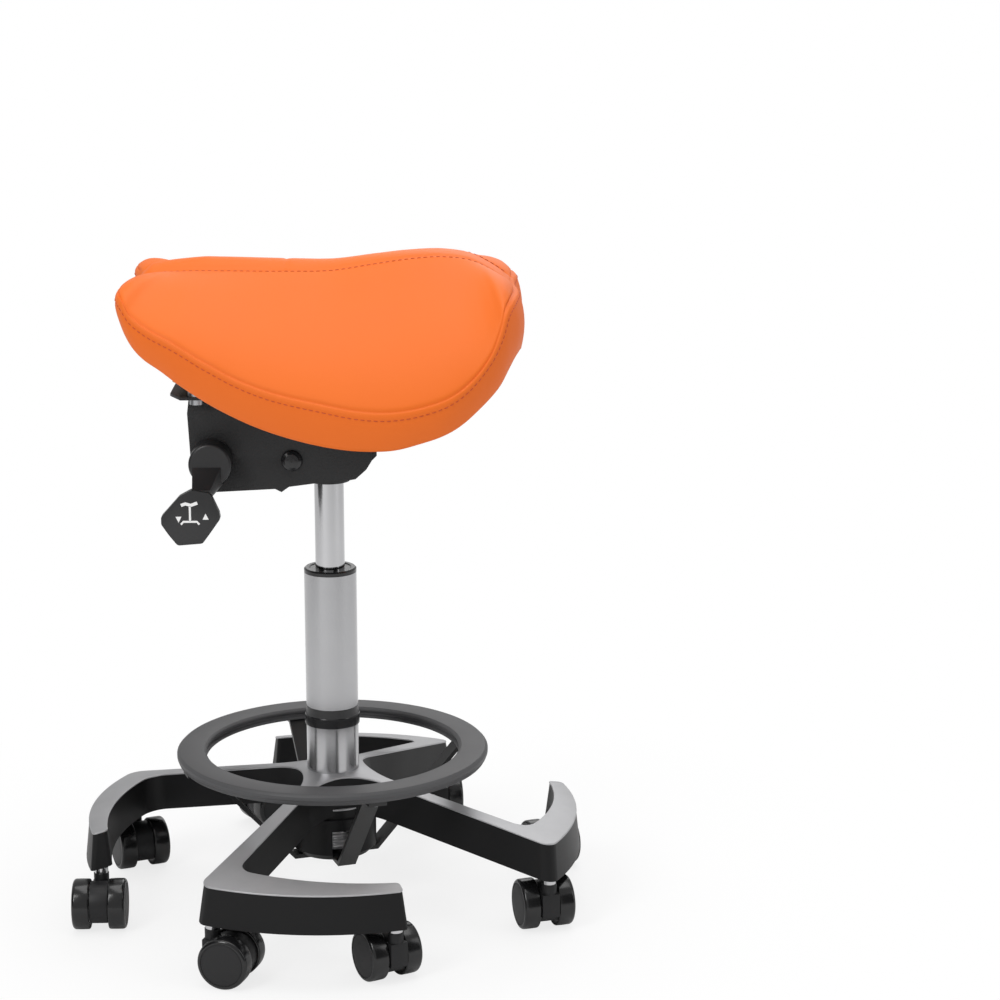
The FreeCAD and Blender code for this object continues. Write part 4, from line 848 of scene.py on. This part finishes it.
def stitches(name, lines):
    settings = seatSettings
    pitch = settings["stitch"] + settings["stitchGap"]
    points, faces = [], []
    sides = settings["threadSides"]
    for line, normals in lines:
        place, turn = resample(line, normals, pitch)
        for i in range(0, len(place) - 2, 2):
            start, end = place[i], place[i + 1] + (place[i + 2] - place[i + 1]) * 0.45
            up = turn[i]
            along = (end - start) / np.linalg.norm(end - start)
            over = np.cross(along, up)
            length = np.linalg.norm(end - start)
            base = len(points)
            for share, sink, thick in settings["threadShape"]:
                middle = start + along * length * share + up * (sink + settings["threadLift"])
                for side in range(sides):
                    angle = 2 * math.pi * side / sides
                    reach = settings["threadHalf"] * thick
                    points.append((middle + (over * math.cos(angle) + up * math.sin(angle)) * reach) * mm)
            for ring in range(len(settings["threadShape"]) - 1):
                for side in range(sides):
                    after = (side + 1) % sides
                    faces.append((base + ring * sides + side, base + ring * sides + after,
                                  base + (ring + 1) * sides + after, base + (ring + 1) * sides + side))
            faces.append(tuple(base + side for side in range(sides))[::-1])
            last = base + (len(settings["threadShape"]) - 1) * sides
            faces.append(tuple(last + side for side in range(sides)))
    piece = meshPiece(name, points, faces, thread)
    return finished(piece, "saddle", "leatherette")


def offsetLine(grid, normals, distance, start=0):
    # the line on a grid at a distance from its first column, with normals
    gaps = np.linalg.norm(np.diff(grid, axis=1), axis=2)
    at = np.concatenate([np.zeros((len(grid), 1)), np.cumsum(gaps, axis=1)], axis=1)
    place = np.zeros((len(grid), 3))
    turn = np.zeros((len(grid), 3))
    for i in range(len(grid)):
        reach = min(distance, at[i, -1] * 0.5)
        for k in range(3):
            place[i, k] = np.interp(reach, at[i], grid[i, :, k])
            turn[i, k] = np.interp(reach, at[i], normals[i, :, k])
    return place, turn


ridgeLine, ridgeUp = offsetLine(panel, panelNormal, seatSettings["stitchBeside"])
bandNormals = np.repeat(bandOut[:, None], band.shape[1], axis=1)
bandLine, bandUp = offsetLine(band, bandNormals, seatSettings["stitchBelow"])
ridgeLine, ridgeUp = ridgeLine[4:-4], ridgeUp[4:-4]
closedLine = np.concatenate([bandLine, bandLine[:1]])
closedUp = np.concatenate([bandUp, bandUp[:1]])
stitches("ridge_stitching", [(ridgeLine, ridgeUp), (ridgeLine * mirror, ridgeUp * mirror)])
stitches("seam_stitching", [(closedLine, closedUp)])
print("stitching made")


# lever pictogram: a stool between two arrows, printed on the paddle
printSettings = {"centre": (-122.5, 407), "proud": 0.22, "line": 1.9}


def ribbon(points, wide):
    # a line of even width as a polygon
    points = [Vector(point) for point in points]
    left, right = [], []
    for index, point in enumerate(points):
        before = points[max(index - 1, 0)]
        after = points[min(index + 1, len(points) - 1)]
        along = (after - before).normalized()
        side = Vector((-along.y, along.x)) * wide / 2
        left.append(point + side)
        right.append(point - side)
    return left + right[::-1]


def leverPrint():
    cx, cz = printSettings["centre"]
    line = printSettings["line"]
    shapes = [
        ribbon([(-8, 8), (-4, 9.4), (1, 8), (7, 10.2)], 3),
        ribbon([(0, 7.2), (0, -6.8)], line),
        ribbon([(-8.4, -10), (-6.2, -7.4), (6.2, -7.4), (8.4, -10)], line),
        [(-13.2, -2.6), (-7.8, -2.6), (-10.5, -8.2)],
        [(11.4, -5.5), (17, -5.5), (14.2, 0.2)],
    ]
    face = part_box("tilt_lever")[0].y
    points, faces = [], []
    for shape in shapes:
        base = len(points)
        count = len(shape)
        for proud in (-0.1, printSettings["proud"]):
            points += [((cx + p[0]) * mm, face - proud * mm, (cz + p[1]) * mm) for p in shape]
        faces.append(tuple(range(base + count, base + 2 * count)))
        faces += [(base + k, base + (k + 1) % count, base + count + (k + 1) % count, base + count + k)
                  for k in range(count)]
    piece = meshPiece("lever_pictogram", points, faces, whitePrint, smooth=False)
    return finished(piece, "tilt_lever", "grey_plastic")


leverPrint()
roundedCopy("tilt_lever", 1.3 * mm, (leverPlastic,), "grey_plastic", segments=3, angle=28)
for name, width in (("tilt_housing", 0.9), ("seat_plate", 0.8), ("seat_board", 1.2), ("inner_bracket", 0.7)):
    roundedCopy(name, width * mm, (nodeFinish[name],), "board" if name == "seat_board" else "black_metal")
print("levers and housing made")
